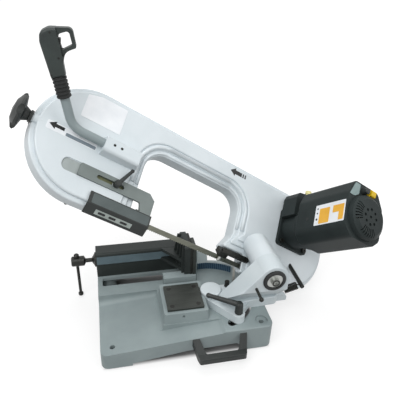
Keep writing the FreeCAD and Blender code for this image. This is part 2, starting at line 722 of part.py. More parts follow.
def vise_screw():
    hub_end = BASE_LEFT - COLLAR_L - NECK_L
    start = hub_end - HUB_L
    points = [(start, 0.0), (start, HUB_R - 2.0), (start + 2.0, HUB_R), (hub_end - 4.0, HUB_R),
              (hub_end, NECK_R), (BASE_LEFT - COLLAR_L - 6.0, NECK_R), (BASE_LEFT - COLLAR_L, COLLAR_R - 3.0),
              (BASE_LEFT - COLLAR_L + 1.0, COLLAR_R), (BASE_LEFT - 0.1, COLLAR_R), (BASE_LEFT - 0.1, SCREW_R),
              (BASE_LEFT + SCREW_LENGTH - 3.0, SCREW_R), (BASE_LEFT + SCREW_LENGTH, SCREW_R - 2.0),
              (BASE_LEFT + SCREW_LENGTH, 0.0)]
    body = moved(lathe(points, X_AXIS), 0, SLIDE_MID, SCREW_Z)
    eye = rod(BAR_R + SHAFT_FIT, (bar_x(), SLIDE_MID, SCREW_Z - 2 * HUB_R), Z_AXIS, 4 * HUB_R)
    return carve(body, eye)


def bar_x():
    return BASE_LEFT - COLLAR_L - NECK_L - 0.62 * HUB_L


def tommy_bar():
    top = SCREW_Z + HUB_R + SLIDE_GAP + BAR_CAP_L
    bottom = top - BAR_LENGTH
    c = BAR_CAP_R
    points = [(bottom, 0.0), (bottom, c - 2.0), (bottom + 2.0, c), (bottom + BAR_CAP_L - 1.0, c),
              (bottom + BAR_CAP_L, c - 1.0), (bottom + BAR_CAP_L, BAR_R), (top - BAR_CAP_L, BAR_R),
              (top - BAR_CAP_L, c - 1.0), (top - BAR_CAP_L + 1.0, c), (top - 2.0, c), (top, c - 2.0),
              (top, 0.0)]
    return moved(lathe(points, Z_AXIS), bar_x(), SLIDE_MID, 0)


# Swivel arm group
def swivel_arm():
    hub = rod(SWIVEL_HUB_R, (SWIVEL_X, SWIVEL_Y, ARM_LOW), Z_AXIS, SWIVEL_HUB_TOP - ARM_LOW)
    hub = soften(hub, 3.0, at_height(SWIVEL_HUB_TOP))
    lug = rod(LUG_R, (LUG_X, LUG_Y, ARM_LOW), Z_AXIS, ARM_FLANGE_H - 3.0)
    way = V(LUG_X - SWIVEL_X, LUG_Y - SWIVEL_Y, 0)
    way.normalize()
    side = V(-way.y, way.x, 0)
    left_hub = V(SWIVEL_X, SWIVEL_Y, 0) - side * (SWIVEL_HUB_R - 1.0)
    left_lug = V(LUG_X, LUG_Y, 0) - side * LUG_R
    right_lug = V(LUG_X, LUG_Y, 0) + side * LUG_R
    branch = plate([(left_hub.x, left_hub.y), (left_lug.x, left_lug.y), (right_lug.x, right_lug.y),
                    (SWIVEL_X + 80.0, TUBE_FRONT_Y + 30.0), (SWIVEL_X + 60.0, SWIVEL_Y)],
                   ARM_LOW, ARM_FLANGE_TOP - 3.0)
    flange = plate([(SWIVEL_X, SWIVEL_Y + SWIVEL_HUB_R - 4.0), (SWIVEL_X - 8.0, SWIVEL_Y - 20.0),
                    (SWIVEL_X + 40.0, TUBE_FRONT_Y + 22.0), (SWIVEL_X + 78.0, TUBE_FRONT_Y + 28.0, 8.0),
                    (ARM_RIGHT - 12.0, TUBE_FRONT_Y + 30.0, 12.0), (ARM_RIGHT, TUBE_FRONT_Y + 44.0, 8.0),
                    (ARM_RIGHT, SWIVEL_Y + 2.0, 6.0), (STOP_X + 24.0, SWIVEL_Y + 6.0, 6.0),
                    (STOP_X + 8.0, STOP_Y + 8.0, 6.0)],
                   ARM_LOW, ARM_FLANGE_TOP)
    flange = soften(flange, 2.5, at_height(ARM_FLANGE_TOP))
    lean = math.radians(42.0)
    tip_x = PIVOT_X - TUBE_R * math.sin(lean)
    tip_z = PIVOT_Z + TUBE_R * math.cos(lean)
    toe_x = tip_x - (tip_z - SWIVEL_HUB_TOP) / math.tan(math.radians(90.0) - lean)
    profile = [(toe_x, ARM_LOW + 4.0), (toe_x, SWIVEL_HUB_TOP, 12.0), (tip_x, tip_z), (PIVOT_X, PIVOT_Z),
               (PIVOT_X + TUBE_R, PIVOT_Z), (PIVOT_X + TUBE_R, ARM_LOW + 4.0)]
    web = plate_xz(profile, TUBE_FRONT_Y, TUBE_BACK_Y)
    barrel = rod(TUBE_R, (PIVOT_X, TUBE_FRONT_Y, PIVOT_Z), Y_AXIS, TUBE_BACK_Y - TUBE_FRONT_Y)
    upper = soften(join(web, barrel), 2.0, lambda e: all(abs(v.Y - TUBE_FRONT_Y) < 1e-6 for v in e.Vertexes)
                   and e.CenterOfMass.z > ARM_FLANGE_TOP + 20.0)
    undercut = plate_yz([(TUBE_FRONT_Y - 1.0, ARM_LOW), (TUBE_FRONT_Y + 40.0, ARM_LOW),
                         (TUBE_FRONT_Y + 38.0, ARM_FLANGE_TOP), (TUBE_FRONT_Y - 1.0, PIVOT_Z - TUBE_R + 6.0)],
                        0.0, ARM_RIGHT + 50.0)
    upper = carve(upper, undercut)
    ear = plate_xz([(ARM_RIGHT - 14.0, ARM_LOW), (SPRING_LOW_X + 6.0, ARM_LOW, 3.0),
                    (SPRING_LOW_X + 6.0, SPRING_LOW_Z + 8.0, 6.0), (ARM_RIGHT - 14.0, ARM_FLANGE_TOP)],
                   SPRING_Y - 24.0, SPRING_Y - SPRING_R - 5.0)
    anchor = rod(SPRING_PIN_R, (SPRING_LOW_X, SPRING_Y - 17.0, SPRING_LOW_Z), Y_AXIS, 22.0)
    body = join(hub, lug, branch, flange, upper, ear, anchor)
    cuts = [rod(SWIVEL_BOLT_R + SHAFT_FIT, (SWIVEL_X, SWIVEL_Y, ARM_LOW - 1.0), Z_AXIS,
                SWIVEL_BOLT_TOP - ARM_LOW + 1.0 + SLIDE_GAP),
            rod(STUD_R + SHAFT_FIT, (LUG_X, LUG_Y, ARM_LOW - 1.0), Z_AXIS, 60.0),
            rod(SHAFT_R + SHAFT_FIT, (PIVOT_X, TUBE_FRONT_Y - 1.0, PIVOT_Z), Y_AXIS, 80.0),
            rod(LOCK_PIN_R + SHAFT_FIT, (LOCK_PIN_X, TUBE_FRONT_Y - 1.0, LOCK_PIN_Z), Y_AXIS,
                LOCK_PIN_IN + 2.0),
            rod(STOP_R, (STOP_X, STOP_Y, ARM_LOW + 4.0), Z_AXIS, 40.0),
            tail_hole(SPRING_LOW_X, SPRING_LOW_Z)]
    return carve(body, *cuts)


def mitre_pivot_bolt():
    low = TRAY_LEFT_Z - 2 * DECK_THICK
    shank = rod(SWIVEL_BOLT_R, (SWIVEL_X, SWIVEL_Y, low), Z_AXIS, SWIVEL_BOLT_TOP - low)
    head = plate(regular(6, 1.6 * SWIVEL_BOLT_R), low - 8.0, low)
    head.translate(V(SWIVEL_X, SWIVEL_Y, 0))
    return join(shank, head)


def regular(sides, radius):
    return [(radius * math.cos(2 * math.pi * k / sides), radius * math.sin(2 * math.pi * k / sides))
            for k in range(sides)]


def mitre_pointer():
    start = on_swivel(58.0, 4.0)
    tip = on_swivel(SCALE_R - 4.0, 46.0)
    foot = on_swivel(54.0, 13.0)
    return plate([(start[0], start[1]), (tip[0] + 3.0, tip[1] - 6.0), tip, (foot[0], foot[1])],
                 ARM_FLANGE_TOP, ARM_FLANGE_TOP + 2.0)


def mitre_clamp_nut():
    high = DECK_Z - DECK_THICK - SLIDE_GAP
    body = plate(rectangle((-12.0, 12.0), (-12.0, 12.0), 3.0), high - CLAMP_NUT, high)
    body.translate(V(LUG_X, LUG_Y, 0))
    return carve(body, rod(STUD_R + SHAFT_FIT, (LUG_X, LUG_Y, 0), Z_AXIS, DECK_Z))


def mitre_clamp_lever():
    low = ARM_LOW + ARM_FLANGE_H - 3.0 + SLIDE_GAP
    arm_z = CLAMP_TOP - 0.5 * CLAMP_HUB_R
    c = CLAMP_HUB_R
    hub = moved(lathe([(low, 0.0), (low, c - 1.0), (low + 2.0, c), (CLAMP_TOP - 4.0, c - 1.0),
                       (CLAMP_TOP, c - 4.0), (CLAMP_TOP, 0.0)], Z_AXIS), LUG_X, LUG_Y, 0)
    arm = moved(lathe([(0.0, 0.0), (0.0, 6.5), (CLAMP_ARM - 8.0, 4.6), (CLAMP_ARM, 5.4),
                       (CLAMP_ARM + 3.0, 3.0), (CLAMP_ARM + 3.0, 0.0)], X_AXIS), 0, 0, arm_z - 2.0)
    arm.rotate(V(0, 0, 0), Z_AXIS, CLAMP_AIM)
    arm.translate(V(LUG_X, LUG_Y, 0))
    stud_low = DECK_Z - DECK_THICK - CLAMP_NUT - 5.0
    stud = rod(STUD_R, (LUG_X, LUG_Y, stud_low), Z_AXIS, low + 4.0 - stud_low)
    return join(hub, arm, stud)


def stop_screw():
    head_low = ARM_FLANGE_TOP + 4.0
    shank = rod(STOP_R - SHAFT_FIT, (STOP_X, STOP_Y, ARM_LOW + 6.0), Z_AXIS, head_low - ARM_LOW - 6.0)
    nut = plate(regular(6, STOP_HEAD_R), ARM_FLANGE_TOP, head_low)
    nut.translate(V(STOP_X, STOP_Y, 0))
    head = rod(STOP_HEAD_R - 1.0, (STOP_X, STOP_Y, head_low), Z_AXIS, 10.0)
    return join(shank, nut, head)


def pivot_shaft():
    back = CUT_Y + 16.0
    body = rod(SHAFT_R, (PIVOT_X, TUBE_FRONT_Y, PIVOT_Z), Y_AXIS, back - TUBE_FRONT_Y)
    return carve(body, rod(PIVOT_BOLT_R, (PIVOT_X, TUBE_FRONT_Y - 1.0, PIVOT_Z), Y_AXIS, 26.0))


def pivot_seal_ring():
    y0 = TUBE_FRONT_Y - SEAL_L
    inner = SHAFT_R + 3.5
    points = [(0.0, inner), (0.0, SEAL_R - 2.5), (2.5, SEAL_R), (SEAL_L, SEAL_R), (SEAL_L, inner)]
    return moved(lathe(points, Y_AXIS), PIVOT_X, y0, PIVOT_Z)


def pivot_bolt():
    washer = rod(SHAFT_R + 3.3, (PIVOT_X, TUBE_FRONT_Y - 3.0, PIVOT_Z), Y_AXIS, 3.0)
    shank = rod(PIVOT_BOLT_R - SHAFT_FIT, (PIVOT_X, TUBE_FRONT_Y - 3.0, PIVOT_Z), Y_AXIS, 26.0)
    head = rod(1.5 * PIVOT_BOLT_R, (PIVOT_X, TUBE_FRONT_Y - 10.0, PIVOT_Z), Y_AXIS, 7.0)
    socket = plate_xz(regular(6, 0.8 * PIVOT_BOLT_R), TUBE_FRONT_Y - 11.0, TUBE_FRONT_Y - 6.0)
    socket.translate(V(PIVOT_X, 0, PIVOT_Z))
    return carve(join(washer, shank, head), socket)


def lock_pin():
    tip = TUBE_FRONT_Y - LOCK_PIN_OUT
    stem = rod(LOCK_PIN_R, (LOCK_PIN_X, tip, LOCK_PIN_Z), Y_AXIS, LOCK_PIN_OUT + LOCK_PIN_IN)
    ball = Part.makeSphere(LOCK_BALL_R, V(LOCK_PIN_X, tip, LOCK_PIN_Z))
    return join(stem, ball)


def spring_ends():
    """Anchor pin and post centres in the spring's upright plane."""
    high = FreeCAD.Placement(V(0, 0, 0), FreeCAD.Rotation(Y_AXIS, HEAD_RAISE),
                             V(PIVOT_X, 0, PIVOT_Z)).multVec(V(*post_in_lowered()))
    return V(SPRING_LOW_X, SPRING_Y, SPRING_LOW_Z), high


def post_in_lowered():
    return PIVOT_X + SPRING_POST_OUT, SPRING_Y, BLADE_LOW_Z + SPRING_POST_RISE


def tail_hole(x, z):
    low, high = spring_ends()
    way = high - low
    way.normalize()
    start = V(x, SPRING_Y, z) - way * 12.0
    return Part.makeCylinder(SPRING_WIRE_R + SHAFT_FIT, 24.0, start, way)


def arc_from(start, heading, end):
    chord = end - start
    along = V(chord)
    along.normalize()
    cosine = max(-1.0, min(1.0, heading.dot(along)))
    bulge = heading - along * cosine
    if bulge.Length < 1e-9:
        return Part.LineSegment(start, end).toShape()
    bulge.normalize()
    mid = (start + end) * 0.5 - bulge * (-0.5 * chord.Length * math.tan(0.5 * math.acos(cosine)))
    return Part.Arc(start, mid, end).toShape()


def biarc(start, heading, end, leaving):
    """Two arcs that leave one point along a heading and reach another along a second heading."""
    gap = end - start
    both = heading + leaving
    bend = 2.0 * (1.0 - heading.dot(leaving))
    lean = gap.dot(both)
    reach = (math.sqrt(lean * lean + bend * gap.dot(gap)) - lean) / bend
    knee = (start + end + (heading - leaving) * reach) * 0.5
    first = arc_from(start, heading, knee)
    last = first.tangentAt(first.LastParameter)
    return [first, arc_from(knee, last, end)]


def least_gap(points):
    """Clear space between neighbouring turns, measured on points that lie half a turn or more apart."""
    nearest = min(points[i].distanceToPoint(points[j])
                  for i in range(len(points)) for j in range(i + 12, min(i + 40, len(points))))
    return nearest - 2 * SPRING_WIRE_R


def return_spring():
    low, high = spring_ends()
    axis = high - low
    length = axis.Length
    axis.normalize()
    across = Y_AXIS
    up = axis.cross(across)
    coil_start = SPRING_TAIL + SPRING_LEAD
    pitch = (length - 2 * coil_start) / SPRING_CURLS

    def on_coil(turn):
        angle = 2 * math.pi * turn
        spot = low + axis * (coil_start + pitch * turn)
        spot = spot + across * (SPRING_R * math.cos(angle)) + up * (SPRING_R * math.sin(angle))
        heading = axis * pitch + across * (-2 * math.pi * SPRING_R * math.sin(angle))
        heading = heading + up * (2 * math.pi * SPRING_R * math.cos(angle))
        heading.normalize()
        return spot, heading

    edges = []
    first, first_heading = on_coil(0.0)
    last, last_heading = on_coil(float(SPRING_CURLS))
    tail_in = low + axis * SPRING_TAIL
    tail_out = high - axis * SPRING_TAIL
    edges.append(Part.LineSegment(low, tail_in).toShape())
    edges += biarc(tail_in, axis, first, first_heading)
    for quarter in range(4 * SPRING_CURLS):
        spot, heading = on_coil(0.25 * quarter)
        following, leaving = on_coil(0.25 * (quarter + 1))
        edges += biarc(spot, heading, following, leaving)
    edges += biarc(last, last_heading, tail_out, axis)
    edges.append(Part.LineSegment(tail_out, high).toShape())
    path = Part.Wire(edges)
    points = [on_coil(k / 24.0)[0] for k in range(24 * SPRING_CURLS)]
    print("spring: least gap to itself %.2f mm" % least_gap(points))
    ring = Part.Wire([Part.Circle(low, axis, SPRING_WIRE_R).toShape()])
    return path.makePipeShell([ring], True, False)


# Bow casting and what it carries
def bow_outline(rim, throat):
    """Bow seen on its face, moved inward by rim on the outside and by throat on the inside."""
    left = -WHEEL_SPAN - BOW_R + rim
    edge = BOW_R - rim
    corner = THROAT_CORNER + throat
    return [(left, -edge, edge), (left, edge, edge), (edge, edge, edge), (edge, -edge, edge),
            (HEEL_LEFT + throat, -edge, 5.0), (HEEL_LEFT + throat, NOSE_LOW + throat, 5.0),
            (NOSE_LEFT + throat, NOSE_LOW + throat, 5.0),
            (THROAT_RIGHT + throat, NOSE_LOW + NOSE_RISE + 0.4 * throat, 10.0),
            (THROAT_RIGHT + throat, THROAT_TOP + throat, corner),
            (THROAT_LEFT - throat, THROAT_TOP + throat, corner), (THROAT_LEFT - throat, -edge, 10.0)]


def bow_casting():
    band = soften(plate(bow_outline(0.0, 0.0), BOW_BACK, BOW_BAND), BAND_FILLET * 0.5, at_height(BOW_BAND))
    step = soften(plate(bow_outline(BAND_IN, RIDGE_ONE), BOW_BAND - 1.0, BOW_STEP), FACE_FILLET,
                  at_height(BOW_STEP))
    face = soften(plate(bow_outline(BAND_IN, RIDGE_TWO), BOW_BAND - 1.0, BOW_FACE), FACE_FILLET,
                  at_height(BOW_FACE))
    boss_z = (BOW_STEP - 1.0, HANDLE_BOSS_Z)
    boss = plate_yz([(HANDLE_BOSS_Y[0], boss_z[0]), (HANDLE_BOSS_Y[1], boss_z[0]),
                     (HANDLE_BOSS_Y[1] - 4.0, boss_z[1], 8.0), (HANDLE_BOSS_Y[0] + 4.0, boss_z[1], 8.0)],
                    *HANDLE_BOSS_X)
    front = pivot_in_bow(TUBE_BACK_Y + 1.0)
    hinge = rod(HINGE_BOSS_R, front, TILT_AXIS, CUT_Y + 20.0 - TUBE_BACK_Y)
    left = -WHEEL_SPAN - BOW_R
    knob_boss = rod(TENSION_BOSS_R, (left - TENSION_BOSS_L + 4.0, 0, TENSION_AXIS_Z), X_AXIS,
                    TENSION_BOSS_L + 16.0)
    body = join(band, step, face, boss, knob_boss)
    cavity_low = plate(bow_outline(BOW_WALL, BOW_WALL), BOW_BACK - 1.0, CAVITY_LOW)
    cavity_high = plate(bow_outline(BAND_IN + BOW_WALL, RIDGE_TWO + BOW_WALL), BOW_BACK - 1.0, CAVITY_HIGH)
    heel_floor = under_heel(HEEL_FLAT + HEEL_WALL)
    body = carve(body, cavity_low.cut(heel_floor), cavity_high.cut(heel_floor), under_heel(HEEL_FLAT))
    wheel_room = rod(WHEEL_R + 4.0, (0, 0, BOW_BACK - 1.0), Z_AXIS, CAVITY_LOW - BOW_BACK + 1.0)
    body = join(body, carve(hinge, wheel_room, blade_room(), behind_bow()))
    rail_x = (-WHEEL_SPAN - RAIL_HALF, -WHEEL_SPAN + RAIL_HALF)
    rails = [block(rail_x, (y, y + RAIL), (CAVITY_LOW + 1.0, CAVITY_HIGH + 1.0))
             for y in (0.5 * CARRIAGE_Y + SLIDE_GAP, -0.5 * CARRIAGE_Y - SLIDE_GAP - RAIL)]
    collar = rod(BEARING_R + BOW_WALL, (0, 0, CAVITY_LOW + 1.0), Z_AXIS, BOW_FACE - CAVITY_LOW - 1.0)
    body = join(body, collar, *rails)
    track = [(TRACK_X[0], TRACK_Y[0], 12.0), (TRACK_X[1] + 20.0, TRACK_Y[0]), (TRACK_X[1] + 20.0, TRACK_Y[1]),
             (TRACK_X[0], TRACK_Y[1], 12.0)]
    cuts = [plate(track, BOW_FACE - TRACK_DEPTH, BOW_FACE + 40.0),
            rod(HANDLE_R + SHAFT_FIT, (HANDLE_BOSS_X[0] - 1.0, HANDLE_Y, HANDLE_Z), X_AXIS,
                HANDLE_IN - HANDLE_BOSS_X[0] + 1.0),
            rod(SHAFT_R + SHAFT_FIT, front, TILT_AXIS, CUT_Y + 16.0 + SLIDE_GAP - TUBE_BACK_Y),
            rod(BEARING_R + SHAFT_FIT, (0, 0, CAVITY_LOW), Z_AXIS, 40.0),
            rod(TENSION_SCREW_R + SHAFT_FIT, (left - 40.0, 0, TENSION_AXIS_Z), X_AXIS, 80.0),
            rod(LEVER_STUD_R + SHAFT_FIT, (GUIDE_LEVER_X, lever_y(), CAVITY_LOW), Z_AXIS, 20.0),
            blade_room()]
    cuts += [rod(SET_SCREW_R, (x, HANDLE_Y, HANDLE_Z), Z_AXIS, 20.0) for x in set_screw_spots()]
    cuts += [rod(COVER_SCREW_R + SHAFT_FIT, (x, y, BOW_BACK - 1.0), Z_AXIS, 9.0)
             for x, y in cover_screw_spots()]
    cuts += [rod(FLANGE_BOLT_R, (x, y, CAVITY_HIGH), Z_AXIS, 20.0) for x, y in flange_bolt_spots()]
    cuts.append(rod(SPRING_POST_R, post_root(), TILT_AXIS * -1.0, 40.0))
    cuts.append(rod(ROLLER_PIN_R, (guide_bolt_x(), guide_bolt_y(), CAVITY_LOW - 1.0), Z_AXIS, 20.0))
    return carve(body, *cuts)


def under_heel(height):
    """Everything of the drive end that lies below a level plane under the lowered blade."""
    return level(block((NOSE_LEFT - BOW_WALL, BOW_R + BOW_R), (-BOW_R, BOW_R), (height - BOW_R, height)))


def behind_bow():
    """Everything at the back of the bow and inside its leg, where the hinge boss stops."""
    return plate(rectangle((-300.0, 200.0), (-200.0, 100.0)), -200.0, CAVITY_LOW)


def blade_room():
    """Way of the blade through the walls on both sides of the throat."""
    return block((THROAT_LEFT - 20.0, HEEL_LEFT + 2 * BOW_WALL), (-WHEEL_R - 10.0, -WHEEL_R + 10.0),
                 (-9.0, 9.0))


def lever_y():
    return 0.5 * (TRACK_Y[0] + TRACK_Y[1])


def guide_bolt_x():
    return HEEL_LEFT + 6.0


def guide_bolt_y():
    return -WHEEL_R + 14.5


def set_screw_spots():
    middle = 0.5 * (HANDLE_BOSS_X[0] + HANDLE_BOSS_X[1])
    return [middle - 20.0, middle - 4.0]


def cover_screw_spots():
    edge = BOW_R - 0.5 * BOW_WALL
    spots = [(-WHEEL_SPAN * k / 3.0, edge) for k in range(4)]
    spots += [(-WHEEL_SPAN - edge, 0.0), (edge, 0.0), (-WHEEL_SPAN, -edge)]
    return spots


def flange_bolt_spots():
    off = 0.5 * FLANGE - FLANGE_BOLT_INSET
    return [(MOTOR_X + sx * off, MOTOR_Y + sy * off) for sx in (-1, 1) for sy in (-1, 1)]


def rear_cover():
    body = plate(bow_outline(0.0, 0.0), BOW_BACK - COVER_THICK, BOW_BACK)
    holes = [rod(COVER_SCREW_R + SHAFT_FIT, (x, y, BOW_BACK - 10.0), Z_AXIS, 20.0)
             for x, y in cover_screw_spots()]
    return carve(body, under_heel(HEEL_FLAT), *holes)


def cover_screws():
    low = BOW_BACK - COVER_THICK
    screws = []
    for x, y in cover_screw_spots():
        shank = rod(COVER_SCREW_R, (x, y, low - 1.0), Z_AXIS, COVER_THICK + 8.0)
        head = rod(COVER_HEAD_R, (x, y, low - COVER_HEAD_L), Z_AXIS, COVER_HEAD_L)
        screws.append(join(shank, head))
    return Part.Compound(screws)


def wheel(bore):
    half = 0.5 * WHEEL_WIDTH
    web = 0.5 * WHEEL_WEB
    outer = BLADE_IN_R - WHEEL_GAP
    inner = outer - WHEEL_RIM
    points = [(-half, bore), (-half, WHEEL_HUB_R), (-web, WHEEL_HUB_R + 3.0), (-web, inner),
              (-half, inner + 2.0), (-half, outer), (half, outer), (half, inner + 2.0),
              (web, inner), (web, WHEEL_HUB_R + 3.0), (half, WHEEL_HUB_R), (half, bore)]
    body = lathe(points, Z_AXIS)
    ring = 0.5 * (WHEEL_HUB_R + inner)
    holes = []
    for k in range(WHEEL_HOLES):
        angle = 2 * math.pi * k / WHEEL_HOLES
        spot = (ring * math.cos(angle), ring * math.sin(angle), -half)
        holes.append(rod(WHEEL_HOLE_R, spot, Z_AXIS, 2 * half))
    return carve(body, *holes)


def output_shaft():
    half = 0.5 * WHEEL_WIDTH
    shank = rod(OUTPUT_R, (0, 0, -half - 4.0), Z_AXIS, BOW_FACE + 30.0 + half + 4.0)
    head = rod(OUTPUT_R + 3.0, (0, 0, -half - 4.0), Z_AXIS, 4.0)
    return join(shank, head)


def drive_bearing():
    low = CAVITY_LOW + 2.0
    return tube(BEARING_R, OUTPUT_R + SHAFT_FIT, (0, 0, low), Z_AXIS, BOW_FACE - low)


def idler_bearing():
    half = 0.5 * WHEEL_WIDTH
    return tube(BEARING_R, AXLE_R + SHAFT_FIT, (-WHEEL_SPAN, 0, -half), Z_AXIS, 2 * half)


def carriage_z():
    high = CAVITY_HIGH - SLIDE_GAP
    return high - CARRIAGE_THICK - 0.6, high


def tension_carriage():
    low, high = carriage_z()
    half = 0.5 * CARRIAGE_X
    xs = (-WHEEL_SPAN - half, -WHEEL_SPAN + half)
    ys = (-0.5 * CARRIAGE_Y, 0.5 * CARRIAGE_Y)
    body = plate(rectangle(xs, ys, 4.0), low, high)
    wheel_half = 0.5 * WHEEL_WIDTH
    axle = rod(AXLE_R, (-WHEEL_SPAN, 0, -wheel_half - 4.0), Z_AXIS, low + wheel_half + 5.0)
    head = rod(AXLE_R + 4.0, (-WHEEL_SPAN, 0, -wheel_half - 4.0), Z_AXIS, 3.6)
    bore = rod(TENSION_SCREW_R + SHAFT_FIT, (-WHEEL_SPAN - half - 1.0, 0, TENSION_AXIS_Z), X_AXIS, 20.0)
    return carve(join(body, axle, head), bore)


def knob_x():
    return -WHEEL_SPAN - BOW_R - TENSION_BOSS_L + 4.0 - SLIDE_GAP


def tension_knob():
    x0 = knob_x()
    stem = [(0.0, 0.0), (0.0, KNOB_STEM_R - 1.0), (-KNOB_STEM_L, KNOB_STEM_R + 4.0),
            (-KNOB_STEM_L - 4.0, KNOB_R - 5.0), (-KNOB_STEM_L - 8.0, KNOB_R),
            (-KNOB_STEM_L - 12.0, KNOB_R - 2.0), (-KNOB_STEM_L - KNOB_L, 0.5 * KNOB_R),
            (-KNOB_STEM_L - KNOB_L - 2.0, 0.0)]
    body = lathe(stem, X_AXIS)
    flutes = []
    for k in range(KNOB_LOBES):
        angle = 2 * math.pi * (k + 0.5) / KNOB_LOBES
        radius = 1.15 * KNOB_R
        flutes.append(rod(0.36 * KNOB_R, (-2 * KNOB_L, radius * math.cos(angle), radius * math.sin(angle)),
                          X_AXIS, 2 * KNOB_L))
    body = carve(body, *flutes)
    body = moved(body, x0, 0, TENSION_AXIS_Z)
    end = -WHEEL_SPAN - 0.5 * CARRIAGE_X + 16.0
    return join(body, rod(TENSION_SCREW_R, (x0 - 4.0, 0, TENSION_AXIS_Z), X_AXIS, end - x0 + 4.0))


def blade():
    half_w = 0.5 * BLADE_WIDTH
    half_t = 0.5 * BLADE_THICK

    def section(x, turn):
        corners = [(-half_t, -half_w), (half_t, -half_w), (half_t, half_w), (-half_t, half_w)]
        loop = Part.makePolygon([V(0, p, q) for p, q in corners + corners[:1]])
        loop.rotate(V(0, 0, 0), X_AXIS, turn)
        loop.translate(V(x, -WHEEL_R, 0))
        return loop

    def half_turn(centre, start):
        arc = Part.Face(Part.makePolygon([V(WHEEL_R - half_t, 0, -half_w), V(WHEEL_R + half_t, 0, -half_w),
                                          V(WHEEL_R + half_t, 0, half_w), V(WHEEL_R - half_t, 0, half_w),
                                          V(WHEEL_R - half_t, 0, -half_w)]))
        solid = arc.revolve(V(0, 0, 0), Z_AXIS, 180)
        solid.rotate(V(0, 0, 0), Z_AXIS, start)
        return moved(solid, centre, 0, 0)

    upper = block((-WHEEL_SPAN, 0), (WHEEL_R - half_t, WHEEL_R + half_t), (-half_w, half_w))
    level_left = LEFT_GUIDE_X - LEFT_GUIDE_BACK - 1.3 * ROLLER_R
    twist_in = Part.makeLoft([section(-WHEEL_SPAN, 0), section(level_left, -HEAD_TILT)], True, True)
    twist_out = Part.makeLoft([section(RIGHT_GUIDE_X, -HEAD_TILT), section(0, 0)], True, True)
    count = int((RIGHT_GUIDE_X - level_left) / TOOTH_PITCH)
    pitch = (RIGHT_GUIDE_X - level_left) / count
    edge = [(level_left, half_w), (level_left, -half_w)]
    for k in range(count):
        start = level_left + k * pitch
        edge += [(start + 0.25 * pitch, -half_w + TOOTH_DEPTH), (start + pitch, -half_w)]
    edge.append((RIGHT_GUIDE_X, half_w))
    span = level(plate_xz(edge, -half_t, half_t))
    return join(upper, half_turn(-WHEEL_SPAN, 90), half_turn(0, 270), twist_in, twist_out, span)


def guide_bar_z():
    low = BOW_FACE - TRACK_DEPTH + SLIDE_GAP
    return low, low + GUIDE_BAR_THICK


def guide_arm():
    low, high = guide_bar_z()
    right = LEFT_GUIDE_X + 0.5 * GUIDE_BLOCK
    ys = (TRACK_Y[0] + SLIDE_GAP, TRACK_Y[1] - SLIDE_GAP)
    foot = -WHEEL_R + 6.0
    shape = [(GUIDE_BAR_LEFT, ys[0], 3.0), (right - BRACKET_W, ys[0], 4.0), (right - BRACKET_W + 8.0, foot),
             (right, foot), (right, ys[1] - 12.0), (right - 14.0, ys[1]), (GUIDE_BAR_LEFT, ys[1], 3.0)]
    bar = plate(shape, low, high)
    slot_y = (lever_y() - 0.5 * GUIDE_SLOT_W, lever_y() + 0.5 * GUIDE_SLOT_W)
    slot = plate(rectangle((GUIDE_LEVER_X - 42.0, GUIDE_LEVER_X + 18.0), slot_y, 0.49 * GUIDE_SLOT_W),
                 low - 1.0, high + 1.0)
    cheek = 2 * ROLLER_R + 0.5 * BLADE_THICK + ROLL_GAP + GUIDE_CHEEK
    head = level(block((right - GUIDE_BLOCK, right), (-cheek, cheek), GUIDE_BLOCK_Z))
    return carve(join(bar, head, *guide_pins(LEFT_GUIDE_X)), slot)


def guide_pins(x):
    """Roller pins with a flat head under each roller."""
    pins = []
    low = ROLLER_LOW - SLIDE_GAP - PIN_HEAD
    for side in (-1, 1):
        stem = rod(ROLLER_PIN_R, (x, side * ROLLER_Y, low), Z_AXIS, GUIDE_BLOCK_Z[0] + 1.0 - low)
        cap = rod(ROLLER_R - 1.0, (x, side * ROLLER_Y, low), Z_AXIS, PIN_HEAD)
        pins.append(level(join(stem, cap)))
    return pins


def guide_roller(x, side):
    spot = (x, side * ROLLER_Y, ROLLER_LOW)
    return level(tube(ROLLER_R, ROLLER_PIN_R + SHAFT_FIT, spot, Z_AXIS, ROLLER_L))


def blade_guard():
    """Bent sheet in front of the blade, from the left housing to the left guide."""
    low, high = guide_bar_z()
    top = (-WHEEL_R + 15.0, high)
    knee = (-WHEEL_R - 9.0, high)
    toe = (-WHEEL_R - 27.0, high - 17.0)
    t = GUARD_THICK
    sheet = plate_yz([top, knee, toe, (toe[0] + 1.4 * t, toe[1]), (knee[0] + 0.5 * t, knee[1] - t),
                      (top[0], top[1] - t)], GUARD_LEFT, GUARD_RIGHT)
    return moved(sheet, 0, 0, t)


def guide_lever():
    low, high = guide_bar_z()
    c = LEVER_HUB_R
    hub = moved(lathe([(high + SLIDE_GAP, 0.0), (high + SLIDE_GAP, c), (high + LEVER_HUB_L - 3.0, c),
                       (high + LEVER_HUB_L, c - 2.5), (high + LEVER_HUB_L, 0.0)], Z_AXIS), 0, 0, 0)
    arm = moved(lathe([(0.0, 0.0), (0.0, 4.6), (LEVER_ARM - 6.0, 3.4), (LEVER_ARM, 4.0),
                       (LEVER_ARM + 2.0, 2.4), (LEVER_ARM + 2.0, 0.0)], X_AXIS),
                0, 0, high + LEVER_HUB_L - 5.0)
    arm.rotate(V(0, 0, 0), Z_AXIS, LEVER_AIM)
    stud = rod(LEVER_STUD_R, (0, 0, CAVITY_HIGH - 5.0), Z_AXIS, high - CAVITY_HIGH + 8.0)
    nut = rod(LEVER_STUD_R + 3.0, (0, 0, CAVITY_HIGH - 5.0), Z_AXIS, 4.7)
    return moved(join(hub, arm, stud, nut), GUIDE_LEVER_X, lever_y(), 0)


